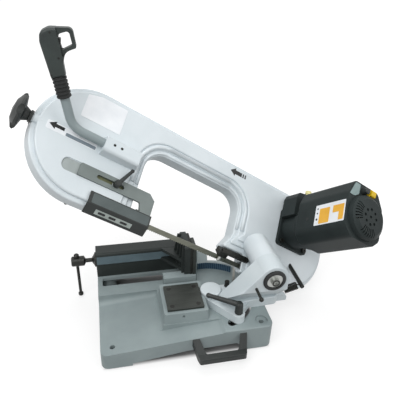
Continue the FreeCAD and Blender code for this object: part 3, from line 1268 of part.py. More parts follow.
def right_guide():
    cheek = 2 * ROLLER_R + 0.5 * BLADE_THICK + ROLL_GAP + GUIDE_CHEEK
    head = level(block((RIGHT_GUIDE_X - 11.0, RIGHT_GUIDE_X + 11.0), (-cheek, cheek), GUIDE_BLOCK_Z))
    bar = plate(rectangle((RIGHT_GUIDE_X - 4.0, HEEL_LEFT + RIDGE_ONE - 1.0),
                          (guide_bolt_y() - 6.0, guide_bolt_y() + 6.0), 3.0), BOW_BAND, BOW_BAND + 8.0)
    high = BOW_BAND + 8.0
    spot = (guide_bolt_x(), guide_bolt_y(), CAVITY_LOW)
    shank = rod(ROLLER_PIN_R - SHAFT_FIT, spot, Z_AXIS, high - CAVITY_LOW)
    bolt = rod(2 * ROLLER_PIN_R + 0.5, (guide_bolt_x(), guide_bolt_y(), high - 1.0), Z_AXIS, 5.0)
    return join(head, bar, shank, bolt, *guide_pins(RIGHT_GUIDE_X))


def post_root():
    """Foot of the spring post on the bow, found back along the tilt axis from the spring's upper end."""
    rise = WHEEL_R * ROOT_HALF
    x, y, z = post_in_lowered()
    dy = y - CUT_Y - rise
    dz = z - BLADE_LOW_Z - rise
    yl = ROOT_HALF * (dy + dz)
    zl = ROOT_HALF * (dz - dy)
    drop = zl - BOW_FACE + 4.0
    return x - PIVOT_X - WHEEL_X, yl + drop, zl - drop


def spring_post():
    rise = WHEEL_R * ROOT_HALF
    x, y, z = post_in_lowered()
    root = V(*post_root())
    dy = y - CUT_Y - rise
    dz = z - BLADE_LOW_Z - rise
    tip = V(x - PIVOT_X - WHEEL_X, ROOT_HALF * (dy + dz), ROOT_HALF * (dz - dy))
    way = tip - root
    length = way.Length + SPRING_R + 2.0
    body = Part.makeCylinder(SPRING_POST_R - SHAFT_FIT, length, root, way)
    low, high = spring_ends()
    placed = head_place(body)
    return carve(placed, tail_hole(high.x, high.z))


# Main handle
def handle_ways():
    rake = math.radians(HANDLE_RAKE)
    along = V(-math.cos(rake), ROOT_HALF * math.sin(rake), ROOT_HALF * math.sin(rake))
    across = V(math.sin(rake), ROOT_HALF * math.cos(rake), ROOT_HALF * math.cos(rake))
    return along, across


def handle_tube():
    along, across = handle_ways()
    corner = V(HANDLE_BEND_X, HANDLE_Y, HANDLE_Z)
    reach = HANDLE_BEND_R * math.tan(0.5 * math.radians(HANDLE_RAKE))
    start = V(HANDLE_IN, HANDLE_Y, HANDLE_Z)
    bend_in = corner + X_AXIS * reach
    bend_out = corner + along * reach
    end = corner + along * (BOOT_START + BOOT_L + GRIP_TUBE_IN)
    edges = [Part.LineSegment(start, bend_in).toShape(), arc_from(bend_in, V(-1, 0, 0), bend_out),
             Part.LineSegment(bend_out, end).toShape()]
    path = Part.Wire(edges)
    ring = Part.Wire([Part.Circle(start, V(-1, 0, 0), HANDLE_R).toShape()])
    return path.makePipeShell([ring], True, False)


def grip_place(shape):
    """From the grip's drawing, X across and Y along it from the boot's lower end, to the bow's drawing."""
    along, across = handle_ways()
    out = across.cross(along)
    spot = V(HANDLE_BEND_X, HANDLE_Y, HANDLE_Z) + along * BOOT_START
    matrix = FreeCAD.Matrix(across.x, along.x, out.x, spot.x, across.y, along.y, out.y, spot.y,
                            across.z, along.z, out.z, spot.z, 0, 0, 0, 1)
    copy = shape.copy()
    copy.Placement = FreeCAD.Placement(matrix).multiply(copy.Placement)
    return copy


def grip_boot():
    pitch = BOOT_L / BOOT_RIBS
    points = [(0.0, HANDLE_R + SHAFT_FIT)]
    for k in range(BOOT_RIBS):
        low = k * pitch
        points += [(low, BOOT_R - 1.6), (low + 0.25 * pitch, BOOT_R), (low + 0.65 * pitch, BOOT_R),
                   (low + 0.8 * pitch, BOOT_R - 1.6)]
    points += [(BOOT_L, BOOT_R - 1.6), (BOOT_L, HANDLE_R + SHAFT_FIT)]
    return grip_place(lathe(points, Y_AXIS))


def grip_body():
    b = BOOT_L
    outer = [(-13.0, b), (13.0, b), (14.5, b + 23.0, 20.0), (22.0, b + 40.0, 16.0), (36.0, b + 43.0, 3.0),
             (43.0, b + 44.0, 4.0), (43.5, b + 78.0, 9.0), (4.0, b + 85.0, 12.0), (-12.0, b + 80.0, 12.0),
             (-16.0, b + 64.0, 20.0)]
    inner = [(17.0, b + 44.0, 3.0), (37.0, b + 50.0, 4.0), (36.5, b + 74.0, 5.0), (19.0, b + 72.0, 6.0),
             (15.5, b + 64.0, 3.0)]
    body = soften(plate(outer, -GRIP_HALF, GRIP_HALF), GRIP_FILLET,
                  lambda e: at_height(GRIP_HALF)(e) or at_height(-GRIP_HALF)(e))
    bow_room = plate(inner, -30.0, 30.0)
    thin = [plate(rectangle((16.0, 60.0), (b + 35.0, b + 100.0)), z, z + 30.0) for z in (0.55 * GRIP_HALF,
                                                                                 -0.55 * GRIP_HALF - 30.0)]
    socket = rod(HANDLE_R + SHAFT_FIT, (0, b - 1.0, 0), Y_AXIS, GRIP_TUBE_IN + 1.0 + SLIDE_GAP)
    pocket = block((0.0, 19.5), (b + 42.0, b + 66.5), (-TRIGGER_HALF - SLIDE_GAP, TRIGGER_HALF + SLIDE_GAP))
    screws = [rod(GRIP_SCREW_R, (x, y, -30.0), Z_AXIS, 60.0) for x, y in grip_screw_spots()]
    return carve(body, bow_room, socket, pocket, trigger_pivot(SHAFT_FIT), *thin, *screws)


def grip_screw_spots():
    return [(5.5, BOOT_L + 77.0), (9.0, BOOT_L + 33.0), (-11.0, BOOT_L + 6.0)]


def grip_half(sign):
    half = block((-80.0, 80.0), (-80.0, 200.0), (0.0, 40.0) if sign > 0 else (-40.0, 0.0))
    return grip_place(grip_body().common(half))


def grip_screws():
    screws = [rod(GRIP_SCREW_R - 0.02, (x, y, -GRIP_HALF + 2.0), Z_AXIS, 2 * GRIP_HALF - 3.0)
              for x, y in grip_screw_spots()]
    return grip_place(Part.Compound(screws))


def trigger():
    b = BOOT_L
    outline = [(5.5, b + 43.5, 1.0), (18.5, b + 44.5, 2.0), (17.5, b + 54.0, 8.0), (20.5, b + 64.0, 2.0),
               (8.0, b + 65.5, 2.0)]
    return grip_place(join(plate(outline, -TRIGGER_HALF, TRIGGER_HALF), trigger_pivot(0.0)))


def trigger_pivot(room):
    """Round stubs that carry the trigger in both grip halves."""
    half = TRIGGER_HALF + TRIGGER_STUB + 4 * room
    x, y = TRIGGER_PIVOT
    return rod(TRIGGER_PIVOT_R + room, (x, BOOT_L + y, -half), Z_AXIS, 2 * half)


def handle_set_screws():
    top = HANDLE_BOSS_Z - 0.5
    return Part.Compound([rod(SET_SCREW_R - 0.02, (x, HANDLE_Y, HANDLE_Z + HANDLE_R), Z_AXIS,
                              top - HANDLE_Z - HANDLE_R) for x in set_screw_spots()])


# Motor group
def gear_housing():
    half = 0.5 * FLANGE
    base = plate(rectangle((-half, half), (-half, half), 9.0), BOW_FACE, BOW_FACE + FLANGE_THICK)
    neck = lathe([(BOW_FACE + FLANGE_THICK - 1.0, 0.0), (BOW_FACE + FLANGE_THICK - 1.0, NECK_OUT_R - 2.0),
                  (NECK_END - 6.0, NECK_OUT_R), (NECK_END, NECK_OUT_R - 3.0), (NECK_END, 0.0)], Z_AXIS)
    body = moved(join(base, neck), MOTOR_X, MOTOR_Y, 0)
    cuts = [rod(FLANGE_BOLT_R, (x, y, BOW_FACE - 1.0), Z_AXIS, FLANGE_THICK + 2.0)
            for x, y in flange_bolt_spots()]
    cuts += [rod(1.8 * FLANGE_BOLT_R, (x, y, BOW_FACE + FLANGE_THICK), Z_AXIS, 12.0)
             for x, y in flange_bolt_spots()]
    cuts.append(rod(OUTPUT_R + SHAFT_FIT, (0, 0, BOW_FACE - 1.0), Z_AXIS, 31.0 + SLIDE_GAP))
    cuts.append(rod(ROTOR_SHAFT_R + SHAFT_FIT, (MOTOR_X, MOTOR_Y, NECK_END - 12.0), Z_AXIS, 20.0))
    return carve(body, *cuts)


def flange_bolts():
    bolts = []
    high = BOW_FACE + FLANGE_THICK
    for x, y in flange_bolt_spots():
        shank = rod(FLANGE_BOLT_R - SHAFT_FIT, (x, y, CAVITY_HIGH), Z_AXIS, high - CAVITY_HIGH)
        head = rod(1.6 * FLANGE_BOLT_R, (x, y, high), Z_AXIS, 6.0)
        socket = plate(regular(6, 0.8 * FLANGE_BOLT_R), high + 2.0, high + 7.0)
        socket.translate(V(x, y, 0))
        bolts.append(carve(join(shank, head), socket))
    return Part.Compound(bolts)


def motor_outline(inset):
    i = inset
    return [(-42.0 + i, 74.0 - i, 14.0), (34.0 - i, 74.0 - i, 14.0), (54.0 - i, 40.0, 16.0),
            (54.0 - i, -34.0, 20.0), (32.0, -54.0 + i, 20.0), (-34.0, -54.0 + i, 20.0),
            (-54.0 + i, -34.0, 20.0), (-54.0 + i, 42.0, 22.0)]


def motor_housing():
    ring = lathe([(NECK_END, 0.0), (NECK_END, RING_R - 4.0), (NECK_END + 3.0, RING_R),
                  (RING_END + 1.0, RING_R + 2.0), (RING_END + 1.0, 0.0)], Z_AXIS)
    shell = plate(motor_outline(0.0), RING_END, MOTOR_END)
    shell = soften(shell, 5.0, at_height(RING_END))
    body = join(ring, shell)
    inside = plate(motor_outline(MOTOR_WALL), RING_END + MOTOR_WALL, MOTOR_END + 1.0)
    eye = rod(ROTOR_SHAFT_R + SHAFT_FIT, (0, 0, NECK_END - 1.0), Z_AXIS, 40.0)
    angle = math.radians(160.0)
    way = V(math.cos(angle), math.sin(angle), 0)
    spot = way * (RING_R - 9.0) + V(0, 0, 0.5 * (NECK_END + RING_END))
    slot = rod(3.0, spot, way, 20.0)
    return moved(carve(body, inside, eye, slot), MOTOR_X, MOTOR_Y, 0)


def motor_end_cap():
    sheet = plate(motor_outline(0.0), MOTOR_END, MOTOR_END + CAP_PLATE)
    dome = lathe([(MOTOR_END, 0.0), (MOTOR_END, CAP_R + 2.0), (CAP_END - 7.0, CAP_R), (CAP_END, CAP_R - 9.0),
                  (CAP_END, 0.0)], Z_AXIS)
    room = lathe([(MOTOR_END - 1.0, 0.0), (MOTOR_END - 1.0, CAP_R - 2.0), (CAP_END - 9.0, CAP_R - 4.0),
                  (CAP_END - 4.0, CAP_R - 12.0), (CAP_END - 4.0, 0.0)], Z_AXIS)
    vents = [rod(VENT_R, (0, 0, MOTOR_END), Z_AXIS, 60.0)]
    for k in range(VENTS):
        angle = 2 * math.pi * k / VENTS
        vents.append(rod(VENT_R, (VENT_CIRCLE * math.cos(angle), VENT_CIRCLE * math.sin(angle), MOTOR_END),
                         Z_AXIS, 60.0))
    for start in (150.0, 240.0):
        for k in range(SLITS):
            slit = block((26.0, 44.0), (-1.1, 1.1), (CAP_END - 16.0, CAP_END + 4.0))
            slit.rotate(V(0, 0, 0), Z_AXIS, start + 9.0 * k)
            vents.append(slit)
    body = carve(join(sheet, dome), room, *vents)
    dial_hole = rod(DIAL_R * 0.5, (DIAL_X, DIAL_Y, MOTOR_END - 1.0), Z_AXIS, 10.0)
    return moved(carve(body, dial_hole), MOTOR_X, MOTOR_Y, 0)


def rotor():
    low = NECK_END - 11.0
    shaft = rod(ROTOR_SHAFT_R, (0, 0, low), Z_AXIS, CAP_END - 8.0 - low)
    core = rod(ROTOR_R, (0, 0, RING_END + 20.0), Z_AXIS, MOTOR_END - RING_END - 50.0)
    hub = rod(16.0, (0, 0, MOTOR_END - 16.0), Z_AXIS, 18.0)
    vane = block((14.0, FAN_R), (-1.2, 1.2), (MOTOR_END - 16.0, MOTOR_END + 2.0))
    vanes = []
    for k in range(FAN_BLADES):
        copy = vane.copy()
        copy.rotate(V(0, 0, 0), Z_AXIS, 360.0 * k / FAN_BLADES)
        vanes.append(copy)
    return moved(join(shaft, core, hub, *vanes), MOTOR_X, MOTOR_Y, 0)


def switch_box():
    low = BOW_FACE + FLANGE_THICK + SLIDE_GAP
    high = NECK_END - SLIDE_GAP
    foot = MOTOR_Y + 20.0
    side = BOX_X[1] + 16.0
    body = plate([(BOX_X[0], foot), (side, foot), (side, BOX_TOP - 26.0, 4.0), (BOX_X[1], BOX_TOP, 6.0),
                  (BOX_X[0] + 6.0, BOX_TOP - 8.0, 6.0), (BOX_X[0], BOX_TOP - 22.0, 6.0)], low, high)
    bolts = [rod(1.8 * FLANGE_BOLT_R, (x, y, low - 1.0), Z_AXIS, 12.0) for x, y in flange_bolt_spots()]
    neck = rod(NECK_OUT_R, (MOTOR_X, MOTOR_Y, low - 1.0), Z_AXIS, 80.0)
    seat = rod(BOX_CAP_R + SHAFT_FIT, box_cap_spot(), Y_AXIS, 20.0)
    return carve(body, neck, seat, *bolts)


def box_cap_spot():
    return BOX_X[1] - 8.0, BOX_TOP - 8.0, NECK_END - 14.0


def box_cap():
    return rod(BOX_CAP_R, box_cap_spot(), Y_AXIS, 14.0)


def speed_dial():
    z0 = MOTOR_END + CAP_PLATE + SLIDE_GAP
    cap = lathe([(z0, 0.0), (z0, DIAL_R), (z0 + DIAL_L - 2.0, DIAL_R - 1.0), (z0 + DIAL_L, DIAL_R - 3.0),
                 (z0 + DIAL_L, 0.0)], Z_AXIS)
    stem = rod(0.5 * DIAL_R - SHAFT_FIT, (0, 0, MOTOR_END - 0.5), Z_AXIS, 8.0)
    return moved(join(cap, stem), MOTOR_X + DIAL_X, MOTOR_Y + DIAL_Y, 0)


def dial_guard():
    z0 = MOTOR_END + CAP_PLATE
    xs = (DIAL_X + DIAL_R + 4.0, DIAL_X + DIAL_R + 18.0)
    low = CAP_R + 3.0
    body = plate_yz([(low, z0), (DIAL_Y + 9.0, z0), (DIAL_Y + 7.0, z0 + 14.0, 3.0), (low, z0 + 12.0, 3.0)],
                    *xs)
    return moved(body, MOTOR_X, MOTOR_Y, 0)


def keep(name, shape):
    NODES[name] = shape


def keep_head(name, shape):
    NODES[name] = head_place(shape)


def make_all():
    for maker in (base_casting, rubber_feet, table_plate, table_screws, carry_handle, fixed_jaw,
                  fixed_jaw_plate, mitre_scale, vise_nut, vise_jaw, moving_jaw_plate, vise_screw, tommy_bar,
                  swivel_arm,
                  mitre_pivot_bolt, mitre_pointer, mitre_clamp_nut, mitre_clamp_lever,
                  stop_screw, pivot_shaft, pivot_seal_ring, pivot_bolt, lock_pin, return_spring,
                  spring_post):
        keep(maker.__name__, maker())
    for maker in (bow_casting, rear_cover, cover_screws, output_shaft, drive_bearing, idler_bearing,
                  tension_carriage, tension_knob, blade, guide_arm, blade_guard,
                  guide_lever, right_guide, handle_tube, grip_boot, grip_screws, trigger,
                  handle_set_screws, gear_housing, flange_bolts, motor_housing, motor_end_cap, rotor,
                  switch_box, box_cap, speed_dial, dial_guard):
        keep_head(maker.__name__, maker())
    keep_head("drive_wheel", wheel(OUTPUT_R))
    keep_head("idler_wheel", moved(wheel(BEARING_R), -WHEEL_SPAN, 0, 0))
    keep_head("grip_front", grip_half(1))
    keep_head("grip_back", grip_half(-1))
    for label, x in (("left", LEFT_GUIDE_X), ("right", RIGHT_GUIDE_X)):
        keep_head(label + "_roller_front", guide_roller(x, -1))
        keep_head(label + "_roller_back", guide_roller(x, 1))


make_all()
os.makedirs("parts", exist_ok=True)
for node, solid in NODES.items():
    solid.exportStep("parts/%s.step" % node)
print("nodes", len(NODES))
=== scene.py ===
# %% [markdown]
# # A bench-top band saw, dressed for the studio
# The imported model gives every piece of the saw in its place. This lesson adds finishes, thin trim, the
# small stick-on plates and the studio. Everything is in metres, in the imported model's own frame.

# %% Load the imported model
import json
import math

import bmesh
import bpy
from mathutils import Matrix, Vector


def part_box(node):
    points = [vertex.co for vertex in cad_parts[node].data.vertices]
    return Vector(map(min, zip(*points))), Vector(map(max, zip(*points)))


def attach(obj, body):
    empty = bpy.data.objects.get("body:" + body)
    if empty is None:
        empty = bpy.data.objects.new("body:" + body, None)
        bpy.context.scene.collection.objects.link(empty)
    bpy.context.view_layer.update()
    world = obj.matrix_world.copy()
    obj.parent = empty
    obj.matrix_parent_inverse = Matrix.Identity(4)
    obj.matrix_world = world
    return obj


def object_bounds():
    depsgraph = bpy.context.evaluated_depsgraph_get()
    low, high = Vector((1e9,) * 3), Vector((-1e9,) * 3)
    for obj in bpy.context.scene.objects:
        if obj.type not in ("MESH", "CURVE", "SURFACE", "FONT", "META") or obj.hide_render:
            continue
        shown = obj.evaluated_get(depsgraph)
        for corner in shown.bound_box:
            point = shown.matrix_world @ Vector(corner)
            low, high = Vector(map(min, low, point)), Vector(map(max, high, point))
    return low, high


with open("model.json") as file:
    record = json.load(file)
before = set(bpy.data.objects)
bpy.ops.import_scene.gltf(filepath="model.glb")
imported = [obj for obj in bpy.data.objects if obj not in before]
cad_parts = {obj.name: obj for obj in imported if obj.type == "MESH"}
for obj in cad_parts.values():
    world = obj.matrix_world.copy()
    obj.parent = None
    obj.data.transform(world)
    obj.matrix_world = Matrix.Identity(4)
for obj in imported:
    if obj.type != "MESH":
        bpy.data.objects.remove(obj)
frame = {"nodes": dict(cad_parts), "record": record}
cad_low, cad_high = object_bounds()
MM = 0.001
print("pieces from the packed model:", len(frame["nodes"]))

# %% [markdown]
# ## The head's own drawing board
# The bow hangs tilted and raised, so a sticker on its face is awkward to place in room axes. The joints
# already know the way: the drive wheel spins about the bow's normal, and the tensioner slides along its
# length. Reading both gives a board with X along the bow, Y up the bow and Z out of its face.

# %% Head axes from the joints
joints = {joint["name"]: joint for joint in frame["record"]["behaviour"]["joints"]}
head_zero = Vector(joints["drive_spin"]["pos_m"])
head_out = Vector(joints["drive_spin"]["axis"]).normalized()
head_along = Vector(joints["tension_slide"]["axis"]).normalized()
head_up = head_out.cross(head_along)


def board(across, up, out, zero):
    """A drawing board: its own X, Y and Z directions, and where its zero lies."""
    matrix = Matrix((across, up, out)).transposed().to_4x4()
    matrix.translation = zero
    return matrix


HEAD = board(head_along, head_up, head_out, head_zero)
FRONT = board(Vector((1, 0, 0)), Vector((0, 0, 1)), Vector((0, -1, 0)), Vector((0, 0, 0)))
print("drive wheel centre:", [round(v, 3) for v in head_zero])

# %% [markdown]
# ## Colours and nodes
# Hex values are easy to read off a photo, but shaders work in linear light, so one function converts them.
# A second small function adds a node, sets it and links it, which keeps each finish short to read.

# %% Colour and node helpers
def linear(hex_colour):
    parts = [int(hex_colour[i:i + 2], 16) / 255 for i in (1, 3, 5)]
    return [p / 12.92 if p <= 0.04045 else ((p + 0.055) / 1.055) ** 2.4 for p in parts] + [1.0]


def add(tree, kind, links=None, values=None, **settings):
    node = tree.nodes.new(kind)
    for key, value in settings.items():
        setattr(node, key, value)
    for socket, value in (values or {}).items():
        node.inputs[socket].default_value = value
    for socket, source in (links or {}).items():
        tree.links.new(source, node.inputs[socket])
    return node


def per_metre(size_mm):
    return 1.0 / (size_mm * MM)


def start(name, **values):
    material = bpy.data.materials.new(name)
    material.use_nodes = True
    tree = material.node_tree
    shader = tree.nodes["Principled BSDF"]
    for socket, value in values.items():
        shader.inputs[socket.replace("_", " ")].default_value = value
    place = add(tree, "ShaderNodeTexCoord").outputs["Object"]
    return material, tree, shader, place


def two_tone(tree, shader, factor, first, second, low=0.35, high=0.65):
    ramp = add(tree, "ShaderNodeValToRGB", links={"Fac": factor})
    ramp.color_ramp.elements[0].position = low
    ramp.color_ramp.elements[0].color = linear(first)
    ramp.color_ramp.elements[1].position = high
    ramp.color_ramp.elements[1].color = linear(second)
    tree.links.new(ramp.outputs["Color"], shader.inputs["Base Color"])


def rough_between(tree, shader, factor, low, high):
    spread = add(tree, "ShaderNodeMapRange", links={"Value": factor}, values={"To Min": low, "To Max": high})
    tree.links.new(spread.outputs["Result"], shader.inputs["Roughness"])


def bumps(tree, shader, height, depth_mm, strength):
    bump = add(tree, "ShaderNodeBump", links={"Height": height},
               values={"Strength": strength, "Distance": depth_mm * MM})
    tree.links.new(bump.outputs["Normal"], shader.inputs["Normal"])

# %% [markdown]
# ## Paints
# The castings are powder coated: a thick, slightly pebbled film. Flat colour would look like plaster, so a
# broad noise drifts the tint, and a fine one gives the pebble that breaks up the highlights. Dark paints get
# a lower specular level, because a bright studio would otherwise turn them grey.

# %% Powder coat on castings
def powder_coat(name, light, dark, pebble_mm, roughness, shine=0.5):
    material, tree, shader, place = start(name, Metallic=0.0, IOR=1.5, Specular_IOR_Level=shine)
    drift = add(tree, "ShaderNodeTexNoise", links={"Vector": place},
                values={"Scale": per_metre(90.0), "Detail": 3.0})
    two_tone(tree, shader, drift.outputs["Fac"], dark, light)
    pebble = add(tree, "ShaderNodeTexNoise", links={"Vector": place},
                 values={"Scale": per_metre(pebble_mm), "Detail": 2.0})
    rough_between(tree, shader, pebble.outputs["Fac"], roughness - 0.07, roughness + 0.07)
    bumps(tree, shader, pebble.outputs["Fac"], 0.15, 0.35)
    return material


BOW_COAT = powder_coat("powder_coated_aluminium_white", "#d6dee2", "#cdd6da", 2.2, 0.42)
ARM_COAT = powder_coat("powder_coated_iron_white", "#d0d9dc", "#c5cfd3", 2.2, 0.45)
BASE_COAT = powder_coat("hammered_grey_enamel", "#919d9e", "#859192", 3.0, 0.5, 0.4)
GUIDE_COAT = powder_coat("grey_enamel_on_guide", "#7a8381", "#6a7371", 2.5, 0.45, 0.4)
VISE_COAT = powder_coat("black_enamel_on_iron", "#303634", "#272c2b", 3.0, 0.5, 0.3)
TUBE_COAT = powder_coat("grey_enamel_on_tube", "#909c9e", "#849092", 2.5, 0.32, 0.5)
MOTOR_COAT = powder_coat("charcoal_enamel_on_aluminium", "#2b3232", "#222828", 1.8, 0.52, 0.15)
print("paints: 7")

# %% [markdown]
# ## Plastics and rubber
# Moulded grips and knobs carry a spark-eroded grain: tiny cells that scatter light. Voronoi cells give it,
# drawn a little coarser than life so that it still shows in a small render.

# %% Moulded grain
def moulded(name, light, dark, grain_mm, roughness, ior=1.49, shine=0.4):
    material, tree, shader, place = start(name, Metallic=0.0, IOR=ior, Specular_IOR_Level=shine)
    tone = add(tree, "ShaderNodeTexNoise", links={"Vector": place},
               values={"Scale": per_metre(40.0), "Detail": 4.0})
    two_tone(tree, shader, tone.outputs["Fac"], dark, light)
    cells = add(tree, "ShaderNodeTexVoronoi", links={"Vector": place}, values={"Scale": per_metre(grain_mm)})
    rough_between(tree, shader, cells.outputs["Distance"], roughness - 0.06, roughness + 0.1)
    bumps(tree, shader, cells.outputs["Distance"], 0.12, 0.4)
    return material


BLACK_PLASTIC = moulded("moulded_nylon_black", "#262a29", "#1b1f1e", 1.4, 0.42)
GRIP_PLASTIC = moulded("moulded_nylon_green_grey", "#2f3735", "#242a29", 1.4, 0.46)
RUBBER = moulded("moulded_rubber", "#1f2121", "#161818", 1.0, 0.62, 1.52)
YELLOW_PLASTIC = moulded("moulded_abs_yellow", "#e3c01f", "#d3b014", 1.2, 0.35)
CREAM_PLASTIC = moulded("moulded_abs_cream", "#e9e2a6", "#ddd595", 1.2, 0.4)
print("plastics: 5")

# %% [markdown]
# ## Bare metals
# Ground steel shows fine lines along the grinding. Stretching a noise along one axis with a Mapping node
# draws those lines. Blackened pieces keep the lines but lose most of the shine.

# %% Ground steel
def ground(name, light, dark, line_mm, roughness, metallic=1.0):
    material, tree, shader, place = start(name, Metallic=metallic)
    stretch = add(tree, "ShaderNodeMapping", links={"Vector": place}, values={"Scale": (0.06, 1.0, 1.0)})
    lines = add(tree, "ShaderNodeTexNoise", links={"Vector": stretch.outputs["Vector"]},
                values={"Scale": per_metre(line_mm), "Detail": 5.0})
    two_tone(tree, shader, lines.outputs["Fac"], dark, light, 0.25, 0.75)
    rough_between(tree, shader, lines.outputs["Fac"], roughness - 0.08, roughness + 0.1)
    bumps(tree, shader, lines.outputs["Fac"], 0.04, 0.2)
    return material


STEEL = ground("ground_steel", "#a3a49f", "#80817c", 1.6, 0.34)
BRIGHT_STEEL = ground("polished_steel", "#b1b3b0", "#a4a6a3", 1.6, 0.28)
BLADE_STEEL = ground("hardened_band_steel", "#85867b", "#67685e", 1.4, 0.38)
BLACK_STEEL = ground("blackened_steel", "#31322f", "#20211f", 2.0, 0.42, 0.6)
PLATE_STEEL = ground("oiled_black_plate", "#3d413d", "#2b2e2b", 2.4, 0.42, 0.4)
WHEEL_METAL = ground("cast_aluminium", "#a9abac", "#8c8e8f", 2.5, 0.45)
print("metals: 6")

# %% [markdown]
# ## The mitre scale
# A printed strip bent round the swivel axis. Its marks must stand at equal angles, so the angle is worked out
# from the place on the strip: arctangent about the swivel axis, then a repeating wave that is sharpened.

# %% Printed scale
swivel = Vector(joints["mitre_swivel"]["pos_m"])
MARK_DEGREES = 2.5


def printed_scale(name):
    material, tree, shader, place = start(name, Roughness=0.38, IOR=1.5)
    off = add(tree, "ShaderNodeVectorMath", links={0: place}, values={1: swivel}, operation="SUBTRACT")
    split = add(tree, "ShaderNodeSeparateXYZ", links={"Vector": off.outputs["Vector"]})
    angle = add(tree, "ShaderNodeMath", links={0: split.outputs["Y"], 1: split.outputs["X"]},
                operation="ARCTAN2")
    marks = add(tree, "ShaderNodeMath", links={0: angle.outputs[0]},
                values={1: 360 / math.tau / MARK_DEGREES}, operation="MULTIPLY")
    saw = add(tree, "ShaderNodeMath", links={0: marks.outputs[0]}, operation="FRACT")
    two_tone(tree, shader, saw.outputs[0], "#6d8798", "#213f57", 0.1, 0.2)
    return material


SCALE_PRINT = printed_scale("printed_scale_strip")
print("scale marks every", MARK_DEGREES, "degrees")

# %% [markdown]
# ## Dressing the pieces
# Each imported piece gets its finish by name. One table keeps the choice in one place, and a check makes sure
# that no piece is left undressed.

# %% Finish of each piece
FINISH = {
    BOW_COAT: ("bow_casting", "rear_cover"),
    ARM_COAT: ("swivel_arm",),
    BASE_COAT: ("base_casting", "fixed_jaw"),
    GUIDE_COAT: ("guide_arm",),
    VISE_COAT: ("vise_jaw",),
    TUBE_COAT: ("handle_tube",),
    MOTOR_COAT: ("gear_housing", "motor_housing", "motor_end_cap", "switch_box"),
    BLACK_PLASTIC: ("carry_handle", "mitre_clamp_lever", "tension_knob", "guide_lever", "trigger",
                    "speed_dial", "blade_guard"),
    GRIP_PLASTIC: ("grip_front", "grip_back"),
    RUBBER: ("rubber_feet", "grip_boot", "pivot_seal_ring"),
    YELLOW_PLASTIC: ("dial_guard",),
    CREAM_PLASTIC: ("box_cap",),
    STEEL: ("vise_nut", "mitre_pointer", "mitre_clamp_nut", "tension_carriage", "output_shaft", "rotor",
            "pivot_shaft", "mitre_pivot_bolt"),
    BRIGHT_STEEL: ("pivot_bolt", "drive_bearing", "idler_bearing", "left_roller_front", "left_roller_back",
                   "right_roller_front", "right_roller_back"),
    BLADE_STEEL: ("blade",),
    BLACK_STEEL: ("vise_screw", "tommy_bar", "lock_pin", "stop_screw", "return_spring", "spring_post",
                  "cover_screws", "grip_screws", "handle_set_screws", "flange_bolts", "moving_jaw_plate",
                  "table_screws", "right_guide"),
    PLATE_STEEL: ("table_plate", "fixed_jaw_plate"),
    WHEEL_METAL: ("drive_wheel", "idler_wheel"),
    SCALE_PRINT: ("mitre_scale",),
}
for material, names in FINISH.items():
    for name in names:
        mesh = frame["nodes"][name].data
        mesh.materials.clear()
        mesh.materials.append(material)
dressed = {name for names in FINISH.values() for name in names}
print("undressed pieces:", sorted(set(frame["nodes"]) - dressed))

# %% [markdown]
# ## Stick-on plates and films
# Thin plates and printed films lie on the castings. Each is one face laid on a drawing board, with its
# corners rounded by a vertex bevel, then extruded by its real thickness. A printed film is a smooth plastic,
# so it borrows the moulded grain at a coarse size.

# %% Films
WHITE_FILM = moulded("printed_film_white", "#eef1f4", "#e4e8ec", 4.0, 0.34), "bow_white"
BLACK_FILM = moulded("printed_film_black", "#1d1f20", "#151717", 4.0, 0.4), "black_plastic"
ORANGE_FILM = moulded("printed_film_orange", "#edb43f", "#e3a833", 4.0, 0.36), "yellow"
SILVER_FILM = moulded("printed_film_silver", "#a3aca8", "#949d99", 4.0, 0.36), "steel"
# Painted sheen: the light that the black vise slide's front facet reflects, laid on as a slate film.
PAINTED_SHEEN_FILM = moulded("painted_sheen_slate", "#65777e", "#5a6b72", 3.0, 0.5), "jaw_blue"
# Painted sheen: the light on the black guard's upper facet, as a dark grey film.
GUARD_SHEEN_FILM = moulded("painted_sheen_dark_grey", "#525b5b", "#485151", 3.0, 0.5), "black_plastic"
# Painted shadow: the handle's shade on the white arrow strip's right end, as a grey-blue film.
SHADE_FILM = moulded("painted_handle_shadow", "#7e8a92", "#717d85", 4.0, 0.4), "jaw_blue"
GREY_FILM = moulded("grey_primer", "#a8b0af", "#9aa2a1", 3.0, 0.5), "tube_grey"
OLIVE_FILM = moulded("oiled_olive_primer", "#6d7050", "#5f6245", 3.0, 0.5), "steel"
TEAL_FILM = moulded("grey_teal_plastic", "#8ea1a1", "#7f9292", 3.0, 0.45), "tube_grey"
print("films: 10")

# %% Flat pieces on a board
def place_piece(shape, name, where, finish, body):
    material, slot = finish
    bmesh.ops.recalc_face_normals(shape, faces=shape.faces[:])
    bmesh.ops.transform(shape, matrix=where, verts=shape.verts[:])
    mesh = bpy.data.meshes.new(name)
    shape.to_mesh(mesh)
    shape.free()
    mesh.materials.append(material)
    piece = bpy.data.objects.new(name, mesh)
    bpy.context.scene.collection.objects.link(piece)
    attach(piece, body)


def flat_piece(name, outline_mm, height_mm, thick_mm, finish, where=HEAD, round_mm=0.0, body="bow"):
    shape = bmesh.new()
    corners = [shape.verts.new((x * MM, y * MM, height_mm * MM)) for x, y in outline_mm]
    face = shape.faces.new(corners)
    if round_mm:
        bmesh.ops.bevel(shape, geom=list(shape.verts), offset=round_mm * MM, affect="VERTICES", segments=4,
                        profile=0.5, material=-1)
        face = shape.faces[:][0]
    grown = bmesh.ops.extrude_face_region(shape, geom=[face])
    risen = [item for item in grown["geom"] if isinstance(item, bmesh.types.BMVert)]
    bmesh.ops.translate(shape, verts=risen, vec=(0, 0, thick_mm * MM))
    place_piece(shape, name, where, finish, body)


def box_outline(left, right, low, high):
    return [(left, low), (right, low), (right, high), (left, high)]


